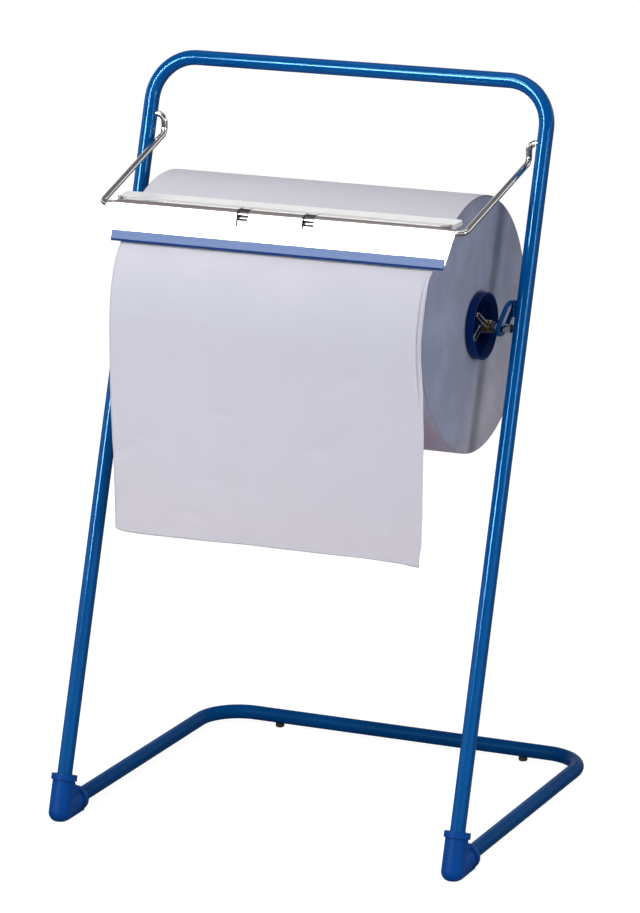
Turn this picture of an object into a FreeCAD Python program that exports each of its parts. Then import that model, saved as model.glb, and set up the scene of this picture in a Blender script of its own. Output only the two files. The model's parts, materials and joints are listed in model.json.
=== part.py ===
import FreeCAD, Part
import math
import os
import Sketcher
from FreeCAD import Placement, Rotation, Vector

# Floor stand for a wide roll of wiping paper, in millimetres.
# The floor is Z = 0, X runs across the stand and Y to the rear. The origin lies on the
# floor in the middle of the stand's outline.
# A foot corner is where the axis of a leg meets the axis of the base tube at its side.
# Stations are distances along a leg from its foot corner.

SIZES = (
    ("tube_diameter", "17.2", "both frame tubes, outside"),
    ("tube_wall", "1.6", "wall of both frame tubes"),
    ("leg_beyond_roll", "51", "end of the roll to the axis of a leg"),
    ("leg_length", "864", "foot corner to the axis of the top bar"),
    ("leg_lean", "17.9", "lean of the legs to the rear, degrees"),
    ("top_bend_radius", "50", "bends of the upper frame, at the axis"),
    ("base_depth", "413.6", "foot corner to the axis of the rear bar"),
    ("base_bend_radius", "50", "bends of the base, at the axis"),
    ("sole_height", "13.5", "axis of the base tube above the floor"),
    ("tube_setback", "14", "foot corner to the cut end of each tube"),
    ("socket_wall", "4.2", "wall of a foot elbow round a tube"),
    ("collar_step", "2.0", "collar over sleeve"),
    ("collar_width", "7", "width of a collar"),
    ("leg_socket_reach", "39", "foot corner to the mouth of the leg socket"),
    ("base_socket_reach", "42", "foot corner to the mouth of the base socket"),
    ("toe_reach", "15.6", "foot corner to the lower end of the leg sleeve"),
    ("toe_radius", "11", "round edge of the lower end of the leg sleeve"),
    ("gusset_thickness", "14", "web between the sleeves of a foot elbow"),
    ("sole_width", "18", "flat runner under a foot elbow"),
    ("pad_inset", "83", "axis of a side tube to a rear pad"),
    ("pad_diameter", "10.6", "head of a rear pad"),
    ("pad_stem_diameter", "5", "stem of a rear pad and its hole"),
    ("pad_barb", "0.6", "barb over the stem"),
    ("pivot_drop", "67", "axis of the top bar to the bail's holes, along the leg"),
    ("pivot_clearance", "0.1", "radial clearance of the bail in its holes"),
    ("wire_diameter", "7", "wire of the bail"),
    ("wire_bend_radius", "9", "bends of the bail, at the axis"),
    ("wire_end_margin", "2", "bail end short of the leg axis"),
    ("bail_arm_gap", "5.9", "short arm of the bail to the leg"),
    ("bail_arm_drop", "21.7", "holes to the knees of the bail"),
    ("bail_bar_inset", "5.5", "front corner inboard of the short arm"),
    ("bail_bar_forward", "170.3", "holes to the front bar, level"),
    ("bail_bar_drop", "71.5", "holes to the front bar, upright"),
    ("axle_drop", "205.4", "the bail's holes to the axle, along the leg"),
    ("axle_diameter", "10", "axle tube, outside"),
    ("axle_wall", "1.5", "wall of the axle tube"),
    ("axle_end_gap", "1.6", "cap of the axle to the leg"),
    ("cap_head_length", "1.2", "head of an axle cap"),
    ("cap_stem_length", "9", "stem of an axle cap"),
    ("eye_rod_diameter", "5", "rod of an axle eye"),
    ("eye_width", "21", "rod axis to rod axis across an eye"),
    ("eye_height", "38", "rod axis to rod axis along an eye"),
    ("eye_stand", "3", "top of an eye inboard of its tail"),
    ("eye_tail", "16.5", "tail of the rod along the leg"),
    ("weld_radius", "3.1", "weld run over the tail"),
    ("roll_width", "380", "paper roll"),
    ("roll_diameter", "285", "full paper roll"),
    ("core_bore", "70", "bore of the cardboard core"),
    ("core_wall", "3", "wall of the cardboard core"),
    ("cone_flange_diameter", "75", "flange of a centring cone"),
    ("cone_flange_height", "9", "flange outside the end of the roll"),
    ("cone_wall", "2.2", "wall of a centring cone"),
    ("cone_length", "38", "plug of a cone inside the core"),
    ("cone_taper", "7", "taper of the plug, degrees"),
    ("cone_core_gap", "0.4", "plug to core at the mouth"),
    ("cone_face_gap", "0.3", "flange to the end of the roll"),
    ("hub_diameter", "17", "hub of a cone"),
    ("hub_recess", "2.6", "flange face to the end of the hub"),
    ("rib_count", "6", "ribs of a cone"),
    ("rib_thickness", "1.8", "radial rib of a cone"),
    ("rib_recess", "11", "flange face to the ribs"),
    ("running_clearance", "0.1", "radial clearance on the axle"),
    ("clip_wire_diameter", "1.9", "wire of a spring clip"),
    ("clip_turns", "4", "turns of a spring clip"),
    ("clip_pitch", "2.1", "turn to turn of a spring clip"),
    ("clip_handle_length", "19", "coil to the end of a clip handle"),
    ("clip_handle_width", "5.4", "clip handle, wire axis to wire axis"),
    ("clip_spread", "76", "handle to handle, degrees"),
    ("clip_rise", "10", "middle of the handles above level, degrees"),
    ("clip_lean", "17", "outer handle in towards the cone, degrees"),
    ("clip_gap", "0.3", "hub to clip and clip to washer"),
    ("washer_diameter", "13", "retaining washer"),
    ("washer_thickness", "1.5", "retaining washer"),
    ("slide_play", "5", "washer to the rod of the eye"),
    ("plate_thickness", "1.2", "sheet of the tear plate"),
    ("plate_bend_radius", "4.8", "inside radius of the fold round the wire"),
    ("plate_lean", "11", "front face off the upright, degrees"),
    ("plate_face_length", "37", "wire axis to the lower edge of the face"),
    ("plate_flange_length", "33", "wire axis to the rear edge of the flange"),
    ("plate_beyond_roll", "18.5", "tear plate past each end of the roll, at the wire"),
    ("plate_taper", "7.5", "tear plate shorter at each end of its lower edge"),
    ("plate_corner_radius", "5", "lower corners of the tear plate"),
    ("flange_corner_radius", "6", "rear corners of the flange"),
    ("crease_length", "9", "wire axis to the crease of the flange"),
    ("crease_turn", "2.5", "flange behind its crease, degrees"),
    ("flange_length_ends", "13", "flange short of the face at each end"),
    ("fold_relief", "20", "fold short of the face at each end"),
    ("tongue_width", "11", "curled tongue"),
    ("tongue_slit", "1.6", "slit beside a tongue"),
    ("tongue_end", "60", "end of a tongue below the front of the wire, degrees"),
    ("tongue_spacing", "78.6", "tongue to tongue"),
    ("tongue_offset", "-2.6", "middle of the tongues from the middle of the plate"),
    ("window_drop", "5.8", "wire axis to the lower edge of a window"),
    ("slit_run", "5.6", "outer slit below a window"),
    ("strip_height", "10.5", "edge strip"),
    ("strip_wall", "1.1", "wall of the edge strip"),
    ("strip_inset", "2", "edge strip short of the plate's lower edge, at each end"),
    ("strip_grip", "8.5", "depth of the plate in the strip"),
    ("web_thickness", "0.8", "loose paper, layers together"),
    ("web_gap", "0.5", "loose paper to the roll"),
    ("web_inset", "0.5", "loose paper short of the roll at each end"),
    ("web_start", "20", "loose paper starts this far behind the top, degrees"),
    ("web_leave", "48", "loose paper leaves the roll this far ahead of the top, degrees"),
    ("web_lift", "5", "how far the loose paper stands off the roll in front"),
    ("web_drop", "237", "axle to the lower edge of the loose paper"),
)

# Values that follow from the sizes above.
FOLLOWING = (
    ("lean_sin", "sin(Sizes.leg_lean)"),
    ("lean_cos", "cos(Sizes.leg_lean)"),
    ("tube_radius", "Sizes.tube_diameter / 2"),
    ("tube_bore_radius", "tube_radius - Sizes.tube_wall"),
    ("roll_half", "Sizes.roll_width / 2"),
    ("half_spacing", "roll_half + Sizes.leg_beyond_roll"),
    ("top_bend_x", "half_spacing - Sizes.top_bend_radius"),
    ("top_bend_y", "Sizes.leg_length - Sizes.top_bend_radius"),
    ("base_bend_x", "half_spacing - Sizes.base_bend_radius"),
    ("base_bend_y", "Sizes.base_depth - Sizes.base_bend_radius"),
    ("leg_inner_x", "half_spacing - tube_radius"),
    ("sleeve_radius", "tube_radius + Sizes.socket_wall"),
    ("collar_radius", "sleeve_radius + Sizes.collar_step"),
    ("leg_collar_start", "Sizes.leg_socket_reach - Sizes.collar_width"),
    ("base_collar_start", "Sizes.base_socket_reach - Sizes.collar_width"),
    ("toe_flat", "sleeve_radius - Sizes.toe_radius"),
    ("toe_rise", "Sizes.toe_reach - Sizes.toe_radius"),
    ("toe_front", "toe_rise * lean_sin + toe_flat * lean_cos + Sizes.toe_radius"),
    ("corner_y", "(toe_front - Sizes.base_depth - tube_radius) / 2"),
    ("gusset_leg_y", "leg_collar_start * lean_sin + sleeve_radius * lean_cos"),
    ("gusset_leg_z", "leg_collar_start * lean_cos - sleeve_radius * lean_sin"),
    ("gusset_mid_y", "(gusset_leg_y + base_collar_start) / 2 - 1"),
    ("gusset_mid_z", "(gusset_leg_z + collar_radius) / 2 - 1"),
    ("runner_half", "Sizes.sole_width / 2"),
    ("runner_height", "Sizes.sole_height - tube_radius - 1"),
    ("pad_x", "half_spacing - Sizes.pad_inset"),
    ("pad_radius", "Sizes.pad_diameter / 2"),
    ("pad_edge", "pad_radius - 1"),
    ("stem_radius", "Sizes.pad_stem_diameter / 2"),
    ("pad_head", "Sizes.sole_height - tube_radius"),
    ("pad_barb_radius", "stem_radius + Sizes.pad_barb"),
    ("pad_shoulder", "Sizes.sole_height - sqrt(tube_bore_radius^2 - pad_barb_radius^2) + 0.1"),
    ("pad_top", "pad_shoulder + 3"),
    ("rear_y", "corner_y + Sizes.base_depth"),
    ("pivot_station", "Sizes.leg_length - Sizes.pivot_drop"),
    ("pivot_y", "corner_y + pivot_station * lean_sin"),
    ("pivot_z", "Sizes.sole_height + pivot_station * lean_cos"),
    ("pivot_hole_radius", "wire_radius + Sizes.pivot_clearance"),
    ("wire_radius", "Sizes.wire_diameter / 2"),
    ("bail_end_x", "half_spacing - Sizes.wire_end_margin"),
    ("bail_arm_x", "leg_inner_x - Sizes.bail_arm_gap - wire_radius"),
    ("bail_bar_x", "bail_arm_x - Sizes.bail_bar_inset"),
    ("bar_y", "pivot_y - Sizes.bail_bar_forward"),
    ("bar_z", "pivot_z - Sizes.bail_bar_drop"),
    ("axle_station", "pivot_station - Sizes.axle_drop"),
    ("axle_y", "corner_y + axle_station * lean_sin"),
    ("axle_z", "Sizes.sole_height + axle_station * lean_cos"),
    ("axle_radius", "Sizes.axle_diameter / 2"),
    ("axle_bore_radius", "axle_radius - Sizes.axle_wall"),
    ("cap_face_x", "leg_inner_x - Sizes.axle_end_gap"),
    ("axle_half", "cap_face_x - Sizes.cap_head_length"),
    ("cap_tip_radius", "axle_bore_radius - 0.5"),
    ("roll_radius", "Sizes.roll_diameter / 2"),
    ("core_bore_radius", "Sizes.core_bore / 2"),
    ("core_radius", "core_bore_radius + Sizes.core_wall"),
    ("flange_radius", "Sizes.cone_flange_diameter / 2"),
    ("flange_face", "Sizes.cone_face_gap + Sizes.cone_flange_height"),
    ("flange_inner_radius", "flange_radius - Sizes.cone_wall"),
    ("plug_radius", "core_bore_radius - Sizes.cone_core_gap"),
    ("plug_tip_radius", "plug_radius - Sizes.cone_length * tan(Sizes.cone_taper)"),
    ("dish_floor", "Sizes.cone_length - Sizes.cone_wall"),
    ("dish_mouth_radius", "plug_radius - Sizes.cone_wall"),
    ("dish_floor_radius", "plug_tip_radius - Sizes.cone_wall"),
    ("hub_radius", "Sizes.hub_diameter / 2"),
    ("hub_end", "flange_face - Sizes.hub_recess"),
    ("rib_end", "flange_face - Sizes.rib_recess"),
    ("rib_half", "Sizes.rib_thickness / 2"),
    ("running_radius", "axle_radius + Sizes.running_clearance"),
    ("clip_radius", "running_radius + Sizes.clip_wire_diameter / 2"),
    ("clip_start", "roll_half + hub_end + Sizes.clip_gap"),
    ("clip_depth", "Sizes.clip_turns * Sizes.clip_pitch + Sizes.clip_wire_diameter"),
    ("washer_start", "clip_start + clip_depth + Sizes.clip_gap"),
    ("washer_end", "washer_start + Sizes.washer_thickness"),
    ("washer_radius", "Sizes.washer_diameter / 2"),
    ("eye_rod_radius", "Sizes.eye_rod_diameter / 2"),
    ("eye_foot_x", "washer_end + Sizes.slide_play + eye_rod_radius"),
    ("eye_tail_x", "leg_inner_x - eye_rod_radius"),
    ("eye_top_x", "eye_tail_x - Sizes.eye_stand"),
    ("eye_tilt_sin", "(eye_top_x - eye_foot_x) / Sizes.eye_height"),
    ("eye_tilt_cos", "sqrt(1 - eye_tilt_sin * eye_tilt_sin)"),
    ("eye_tilt", "asin(eye_tilt_sin)"),
    ("eye_rest", "(axle_radius + eye_rod_radius + Sizes.running_clearance) / eye_tilt_cos"),
    ("eye_bow", "Sizes.eye_width / 2"),
    ("eye_bow_rise", "(eye_bow - eye_rest) * lean_cos"),
    ("eye_bow_shift", "-(eye_bow - eye_rest) * lean_sin"),
    ("eye_plane_x", "eye_foot_x + (eye_bow - eye_bow_rise) * eye_tilt_sin"),
    ("eye_crown_rise", "eye_bow_rise + Sizes.eye_height - Sizes.eye_width"),
    ("eye_front_y", "eye_bow_shift - eye_bow"),
    ("eye_rear_y", "eye_bow_shift + eye_bow"),
    ("eye_bow_x", "eye_plane_x + eye_bow_rise * eye_tilt_sin"),
    ("eye_bow_z", "eye_bow_rise * eye_tilt_cos"),
    ("eye_crown_x", "eye_plane_x + eye_crown_rise * eye_tilt_sin"),
    ("eye_crown_z", "eye_crown_rise * eye_tilt_cos"),
    ("eye_top_z", "(eye_crown_rise + eye_bow) * eye_tilt_cos"),
    ("eye_tail_end", "eye_top_z - Sizes.eye_tail"),
    ("eye_tail_turn", "eye_tail_end + Sizes.weld_radius"),
    ("fold_outer", "Sizes.plate_bend_radius + Sizes.plate_thickness"),
    ("fold_cos", "cos(Sizes.plate_lean)"),
    ("fold_sin", "sin(Sizes.plate_lean)"),
    ("fold_out_y", "-fold_outer * fold_cos"),
    ("fold_out_z", "fold_outer * fold_sin"),
    ("fold_in_y", "-Sizes.plate_bend_radius * fold_cos"),
    ("fold_in_z", "Sizes.plate_bend_radius * fold_sin"),
    ("face_out_y", "fold_out_y - Sizes.plate_face_length * fold_sin"),
    ("face_out_z", "fold_out_z - Sizes.plate_face_length * fold_cos"),
    ("face_in_y", "fold_in_y - Sizes.plate_face_length * fold_sin"),
    ("face_in_z", "fold_in_z - Sizes.plate_face_length * fold_cos"),
    ("plate_half", "roll_half + Sizes.plate_beyond_roll"),
    ("plate_lower_half", "plate_half - Sizes.plate_taper"),
    ("strip_half", "plate_lower_half - Sizes.strip_inset"),
    ("web_half", "roll_half - Sizes.web_inset"),
    ("flange_half", "plate_half - Sizes.flange_length_ends"),
    ("fold_half", "plate_half - Sizes.fold_relief"),
    ("plate_beyond", "plate_half + 5"),
    ("relief_front", "-fold_outer - 2"),
    ("relief_tip", "plate_half - 1"),
    ("flange_beyond", "Sizes.plate_flange_length + 2"),
    ("flange_corner_x", "flange_half - Sizes.flange_corner_radius"),
    ("flange_corner_y", "Sizes.plate_flange_length - Sizes.flange_corner_radius"),
    ("flange_step", "fold_outer + 4"),
    ("face_corner_x", "plate_lower_half - Sizes.plate_corner_radius"),
    ("face_corner_z", "face_out_z + Sizes.plate_corner_radius"),
    ("face_beyond", "face_out_z - 5"),
    ("crease_rise", "(Sizes.plate_flange_length - Sizes.crease_length) * tan(Sizes.crease_turn)"),
    ("flange_out_z", "fold_outer + crease_rise"),
    ("flange_in_z", "Sizes.plate_bend_radius + crease_rise"),
    ("curl_inner", "wire_radius + Sizes.pivot_clearance"),
    ("curl_outer", "curl_inner + Sizes.plate_thickness"),
    ("curl_in_y", "-curl_inner * cos(Sizes.tongue_end)"),
    ("curl_in_z", "-curl_inner * sin(Sizes.tongue_end)"),
    ("curl_out_y", "-curl_outer * cos(Sizes.tongue_end)"),
    ("curl_out_z", "-curl_outer * sin(Sizes.tongue_end)"),
    ("slit_end", "Sizes.window_drop + Sizes.slit_run"),
    ("window_half", "Sizes.tongue_width / 2 + Sizes.tongue_slit"),
    ("tongue_half", "Sizes.tongue_width / 2"),
    ("tongue_left", "Sizes.tongue_offset - Sizes.tongue_spacing / 2"),
    ("tongue_right", "Sizes.tongue_offset + Sizes.tongue_spacing / 2"),
    ("strip_top", "Sizes.plate_face_length - Sizes.strip_grip"),
    ("strip_bottom", "strip_top + Sizes.strip_height"),
    ("strip_front", "-fold_outer - Sizes.strip_wall"),
    ("strip_rear", "-Sizes.plate_bend_radius + Sizes.strip_wall"),
    ("web_in", "roll_radius + Sizes.web_gap"),
    ("web_out", "web_in + Sizes.web_thickness"),
    ("web_in_behind_y", "web_in * sin(Sizes.web_start)"),
    ("web_in_behind_z", "web_in * cos(Sizes.web_start)"),
    ("web_out_behind_y", "web_out * sin(Sizes.web_start)"),
    ("web_out_behind_z", "web_out * cos(Sizes.web_start)"),
    ("web_in_leave_y", "-web_in * sin(Sizes.web_leave)"),
    ("web_in_leave_z", "web_in * cos(Sizes.web_leave)"),
    ("web_out_leave_y", "-web_out * sin(Sizes.web_leave)"),
    ("web_out_leave_z", "web_out * cos(Sizes.web_leave)"),
    ("web_shift", "Sizes.web_lift / (1 - sin(Sizes.web_leave))"),
    ("web_centre_y", "web_shift * sin(Sizes.web_leave)"),
    ("web_centre_z", "-web_shift * cos(Sizes.web_leave)"),
    ("web_in_front_y", "web_centre_y - web_in - web_shift"),
)

doc = FreeCAD.newDocument("PaperRollStand")
sizes = doc.addObject("Spreadsheet::Sheet", "Sizes")
for row, (name, text, note) in enumerate(SIZES, start=1):
    sizes.set("A%d" % row, note)
    sizes.set("B%d" % row, text)
    sizes.setAlias("B%d" % row, name)
doc.recompute()
values = doc.addObject("Spreadsheet::Sheet", "Values")
for row, (name, rule) in enumerate(FOLLOWING, start=1):
    values.set("A%d" % row, name)
    values.setAlias("B%d" % row, name)
for row, (name, rule) in enumerate(FOLLOWING, start=1):
    values.set("B%d" % row, "=" + rule)
doc.recompute()

own_sizes = [name for name, text, note in SIZES]


def size(name):
    """The number that an alias holds in either sheet."""
    sheet = sizes if name in own_sizes else values
    found = sheet.get(name)
    return float(getattr(found, "Value", found))


def split(terms):
    """Signed aliases and numbers of a sum such as 'half_spacing - tube_radius'."""
    words = terms.replace("+", " + ").replace("-", " - ").split()
    sign = 1
    found = []
    for word in words:
        if word == "+":
            continue
        if word == "-":
            sign = -sign
            continue
        found.append((sign, word))
        sign = 1
    return found


def amount(terms):
    """The value of a sum of aliases and numbers."""
    total = 0.0
    for sign, word in split(terms):
        total += sign * (float(word) if word[0].isdigit() else size(word))
    return total


def bound(terms):
    """The same sum as an expression on the sheets."""
    text = ""
    for sign, word in split(terms):
        if not word[0].isdigit():
            word = ("Sizes." if word in own_sizes else "Values.") + word
        text += (" + " if sign > 0 else " - ") + word
    return text.strip().lstrip("+ ")


def bind(thing, path, terms):
    thing.setExpression(path, bound(terms))


def placed(thing, x="0", y="0", z="0", turns=()):
    """Places a piece by the sheets; turns are (axis, angle) pairs, the outermost first."""
    spot = "vector(%s; %s; %s)" % (bound(x), bound(y), bound(z))
    turn = "rotation(vector(0; 0; 1); 0)"
    if turns:
        turn = " * ".join("rotation(vector%s; %s)" % (str(axis).replace(",", ";"), bound(angle))
                          for axis, angle in turns)
    thing.setExpression("Placement", "placement(%s; %s)" % (spot, turn))


def new_body(label):
    body = doc.addObject("PartDesign::Body", label)
    body.Label = label
    return body


def new_sketch(body, name, plane, x="0", y="0", z="0", turn=None):
    """A sketch on an origin plane of its own body, moved off it where the form needs it."""
    sketch = body.newObject("Sketcher::SketchObject", name)
    support = [found for found in body.Origin.OriginFeatures if found.Role == plane][0]
    sketch.AttachmentSupport = (support, [""])
    sketch.MapMode = "FlatFace"
    axis, angle = turn if turn else ((0, 0, 1), "0")
    spot = "vector(%s; %s; %s)" % (bound(x), bound(y), bound(z))
    spin = "rotation(vector%s; %s)" % (str(axis).replace(",", ";"), bound(angle))
    sketch.setExpression("AttachmentOffset", "placement(%s; %s)" % (spot, spin))
    return sketch


def hold(sketch, part, end, terms, along):
    """Dimensions one point of the sketch from its origin, along X or Y."""
    value = amount(terms)
    if terms == "0":
        axis = -2 if along == "X" else -1
        sketch.addConstraint(Sketcher.Constraint("PointOnObject", part, end, axis))
        return
    number = sketch.addConstraint(Sketcher.Constraint("Distance" + along, -1, 1, part, end, value))
    label = "%s%d_%d" % (along.lower(), part, end)
    sketch.renameConstraint(number, label)
    bind(sketch, "Constraints." + label, terms)


def outline(sketch, points, closed=True):
    """Lines and arcs through dimensioned points. A point is (x, y) where a line leaves it
    and (x, y, centre x, centre y, way) where an arc does; way is 1 anticlockwise."""
    spots = [Vector(amount(point[0]), amount(point[1]), 0) for point in points]
    count = len(points) if closed else len(points) - 1
    first = sketch.GeometryCount
    for index in range(count):
        start = spots[index]
        finish = spots[(index + 1) % len(points)]
        if len(points[index]) == 2:
            sketch.addGeometry(Part.LineSegment(start, finish))
            continue
        middle = Vector(amount(points[index][2]), amount(points[index][3]), 0)
        way = points[index][4]
        from_angle = math.atan2(start.y - middle.y, start.x - middle.x)
        to_angle = math.atan2(finish.y - middle.y, finish.x - middle.x)
        if way < 0:
            from_angle, to_angle = to_angle, from_angle
        circle = Part.Circle(middle, Vector(0, 0, 1), (start - middle).Length)
        while to_angle <= from_angle:
            to_angle += 2 * math.pi
        sketch.addGeometry(Part.ArcOfCircle(circle, from_angle, to_angle))
    for index in range(count):
        arc = len(points[index]) > 2
        begin = 1 if not arc or points[index][4] > 0 else 2
        part = first + index
        before = index - 1 if index else (count - 1 if closed else None)
        after_arc = before is not None and len(points[before]) > 2
        if before is not None:
            end = 2 if not after_arc or points[before][4] > 0 else 1
            sketch.addConstraint(Sketcher.Constraint("Coincident", first + before, end, part, begin))
        if after_arc:
            middle_x = amount(points[before][2])
            middle_y = amount(points[before][3])
            steep = abs(spots[index].x - middle_x) > abs(spots[index].y - middle_y)
            along = "Y" if steep else "X"
            hold(sketch, part, begin, points[index][1 if steep else 0], along)
        else:
            hold(sketch, part, begin, points[index][0], "X")
            hold(sketch, part, begin, points[index][1], "Y")
        if arc:
            middle = points[index][2:4]
            if middle == ("0", "0"):
                sketch.addConstraint(Sketcher.Constraint("Coincident", part, 3, -1, 1))
            else:
                hold(sketch, part, 3, middle[0], "X")
                hold(sketch, part, 3, middle[1], "Y")
    if not closed:
        arc = len(points[count - 1]) > 2
        part = first + count - 1
        end = 2 if not arc or points[count - 1][4] > 0 else 1
        if arc:
            middle_x = amount(points[count - 1][2])
            middle_y = amount(points[count - 1][3])
            steep = abs(spots[-1].x - middle_x) > abs(spots[-1].y - middle_y)
            hold(sketch, part, end, points[-1][1 if steep else 0], "Y" if steep else "X")
        else:
            hold(sketch, part, end, points[-1][0], "X")
            hold(sketch, part, end, points[-1][1], "Y")


def disc(sketch, radius, x="0", y="0"):
    """A circle whose centre and radius follow the sheets."""
    spot = Vector(amount(x), amount(y), 0)
    part = sketch.addGeometry(Part.Circle(spot, Vector(0, 0, 1), amount(radius)))
    number = sketch.addConstraint(Sketcher.Constraint("Radius", part, amount(radius)))
    label = "radius%d" % part
    sketch.renameConstraint(number, label)
    bind(sketch, "Constraints." + label, radius)
    if x == "0" and y == "0":
        sketch.addConstraint(Sketcher.Constraint("Coincident", part, 3, -1, 1))
        return
    hold(sketch, part, 3, x, "X")
    hold(sketch, part, 3, y, "Y")


def feature(body, kind, name, sketch, **settings):
    """Adds a feature made from a sketch; a length given as text follows the sheets."""
    made = body.newObject("PartDesign::" + kind, name)
    made.Profile = sketch
    for key, setting in settings.items():
        if isinstance(setting, str) and key in ("Length", "Length2", "Angle"):
            bind(made, key, setting)
        else:
            setattr(made, key, setting)
    sketch.Visibility = False
    doc.recompute()
    return made


def turned(body, kind, name, sketch, axis):
    """A full revolution or groove about an axis of its sketch."""
    return feature(body, kind, name, sketch, ReferenceAxis=(sketch, [axis]), Angle=360.0)


LEAN = ((-1, 0, 0), "leg_lean")


def tube_ring(sketch, x="0", y="0"):
    """The cut end of the frame tube."""
    disc(sketch, "tube_radius", x=x, y=y)
    disc(sketch, "tube_bore_radius", x=x, y=y)


def bend_axis(sketch, x, reach="20"):
    """The upright line in a sketch that a bend turns about."""
    ends = [Vector(amount(x), amount(y), 0) for y in ("0 - " + reach, reach)]
    line = sketch.addGeometry(Part.LineSegment(*ends), True)
    hold(sketch, line, 1, x, "X")
    hold(sketch, line, 1, "0 - " + reach, "Y")
    hold(sketch, line, 2, x, "X")
    hold(sketch, line, 2, reach, "Y")


# The upper frame: one tube bent to a U, its legs standing in the foot elbows. The bail's
# holes go through the inner wall of each leg only.
def upper_frame():
    body = new_body("upper_frame")
    placed(body, "0", "corner_y", "sole_height", (LEAN,))
    legs = new_sketch(body, "leg_rings", "XY_Plane", z="tube_setback")
    tube_ring(legs, "0 - half_spacing")
    tube_ring(legs, "half_spacing")
    feature(body, "Pad", "legs", legs, Length="top_bend_y - tube_setback")
    for name, mark, back in (("left", "0 - ", False), ("right", "", True)):
        bend = new_sketch(body, "top_bend_ring_" + name, "XY_Plane", z="top_bend_y")
        tube_ring(bend, mark + "half_spacing")
        bend_axis(bend, mark + "top_bend_x")
        feature(body, "Revolution", "top_bend_" + name, bend, ReferenceAxis=(bend, ["Axis0"]),
                Angle=90.0, Reversed=back)
    bar = new_sketch(body, "top_bar_ring", "YZ_Plane")
    tube_ring(bar, "0", "leg_length")
    feature(body, "Pad", "top_bar", bar, SideType="Symmetric", Length="top_bend_x + top_bend_x")
    hole = new_sketch(body, "pivot_hole_sketch", "YZ_Plane")
    disc(hole, "pivot_hole_radius", y="pivot_station")
    feature(body, "Pocket", "pivot_holes", hole, SideType="Symmetric", Length="half_spacing + half_spacing")
    return body


# The base: one tube bent to a U and lying level, with two holes under its rear bar.
def base_frame():
    body = new_body("base_frame")
    placed(body, "0", "corner_y", "sole_height")
    arms = new_sketch(body, "base_rings", "XZ_Plane", z="0 - tube_setback")
    tube_ring(arms, "0 - half_spacing")
    tube_ring(arms, "half_spacing")
    feature(body, "Pad", "base_arms", arms, Length="base_bend_y - tube_setback", Reversed=True)
    for name, mark, back in (("left", "0 - ", False), ("right", "", True)):
        bend = new_sketch(body, "base_bend_ring_" + name, "XZ_Plane", z="0 - base_bend_y")
        tube_ring(bend, mark + "half_spacing")
        bend_axis(bend, mark + "base_bend_x")
        feature(body, "Revolution", "base_bend_" + name, bend, ReferenceAxis=(bend, ["Axis0"]),
                Angle=90.0, Reversed=not back)
    bar = new_sketch(body, "rear_bar_ring", "YZ_Plane")
    tube_ring(bar, "base_depth")
    feature(body, "Pad", "rear_bar", bar, SideType="Symmetric", Length="base_bend_x + base_bend_x")
    hole = new_sketch(body, "pad_hole_sketch", "XY_Plane")
    disc(hole, "stem_radius", x="pad_x", y="base_depth")
    disc(hole, "stem_radius", x="0 - pad_x", y="base_depth")
    feature(body, "Pocket", "pad_holes", hole, Length="sole_height", Reversed=False)
    return body


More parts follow.
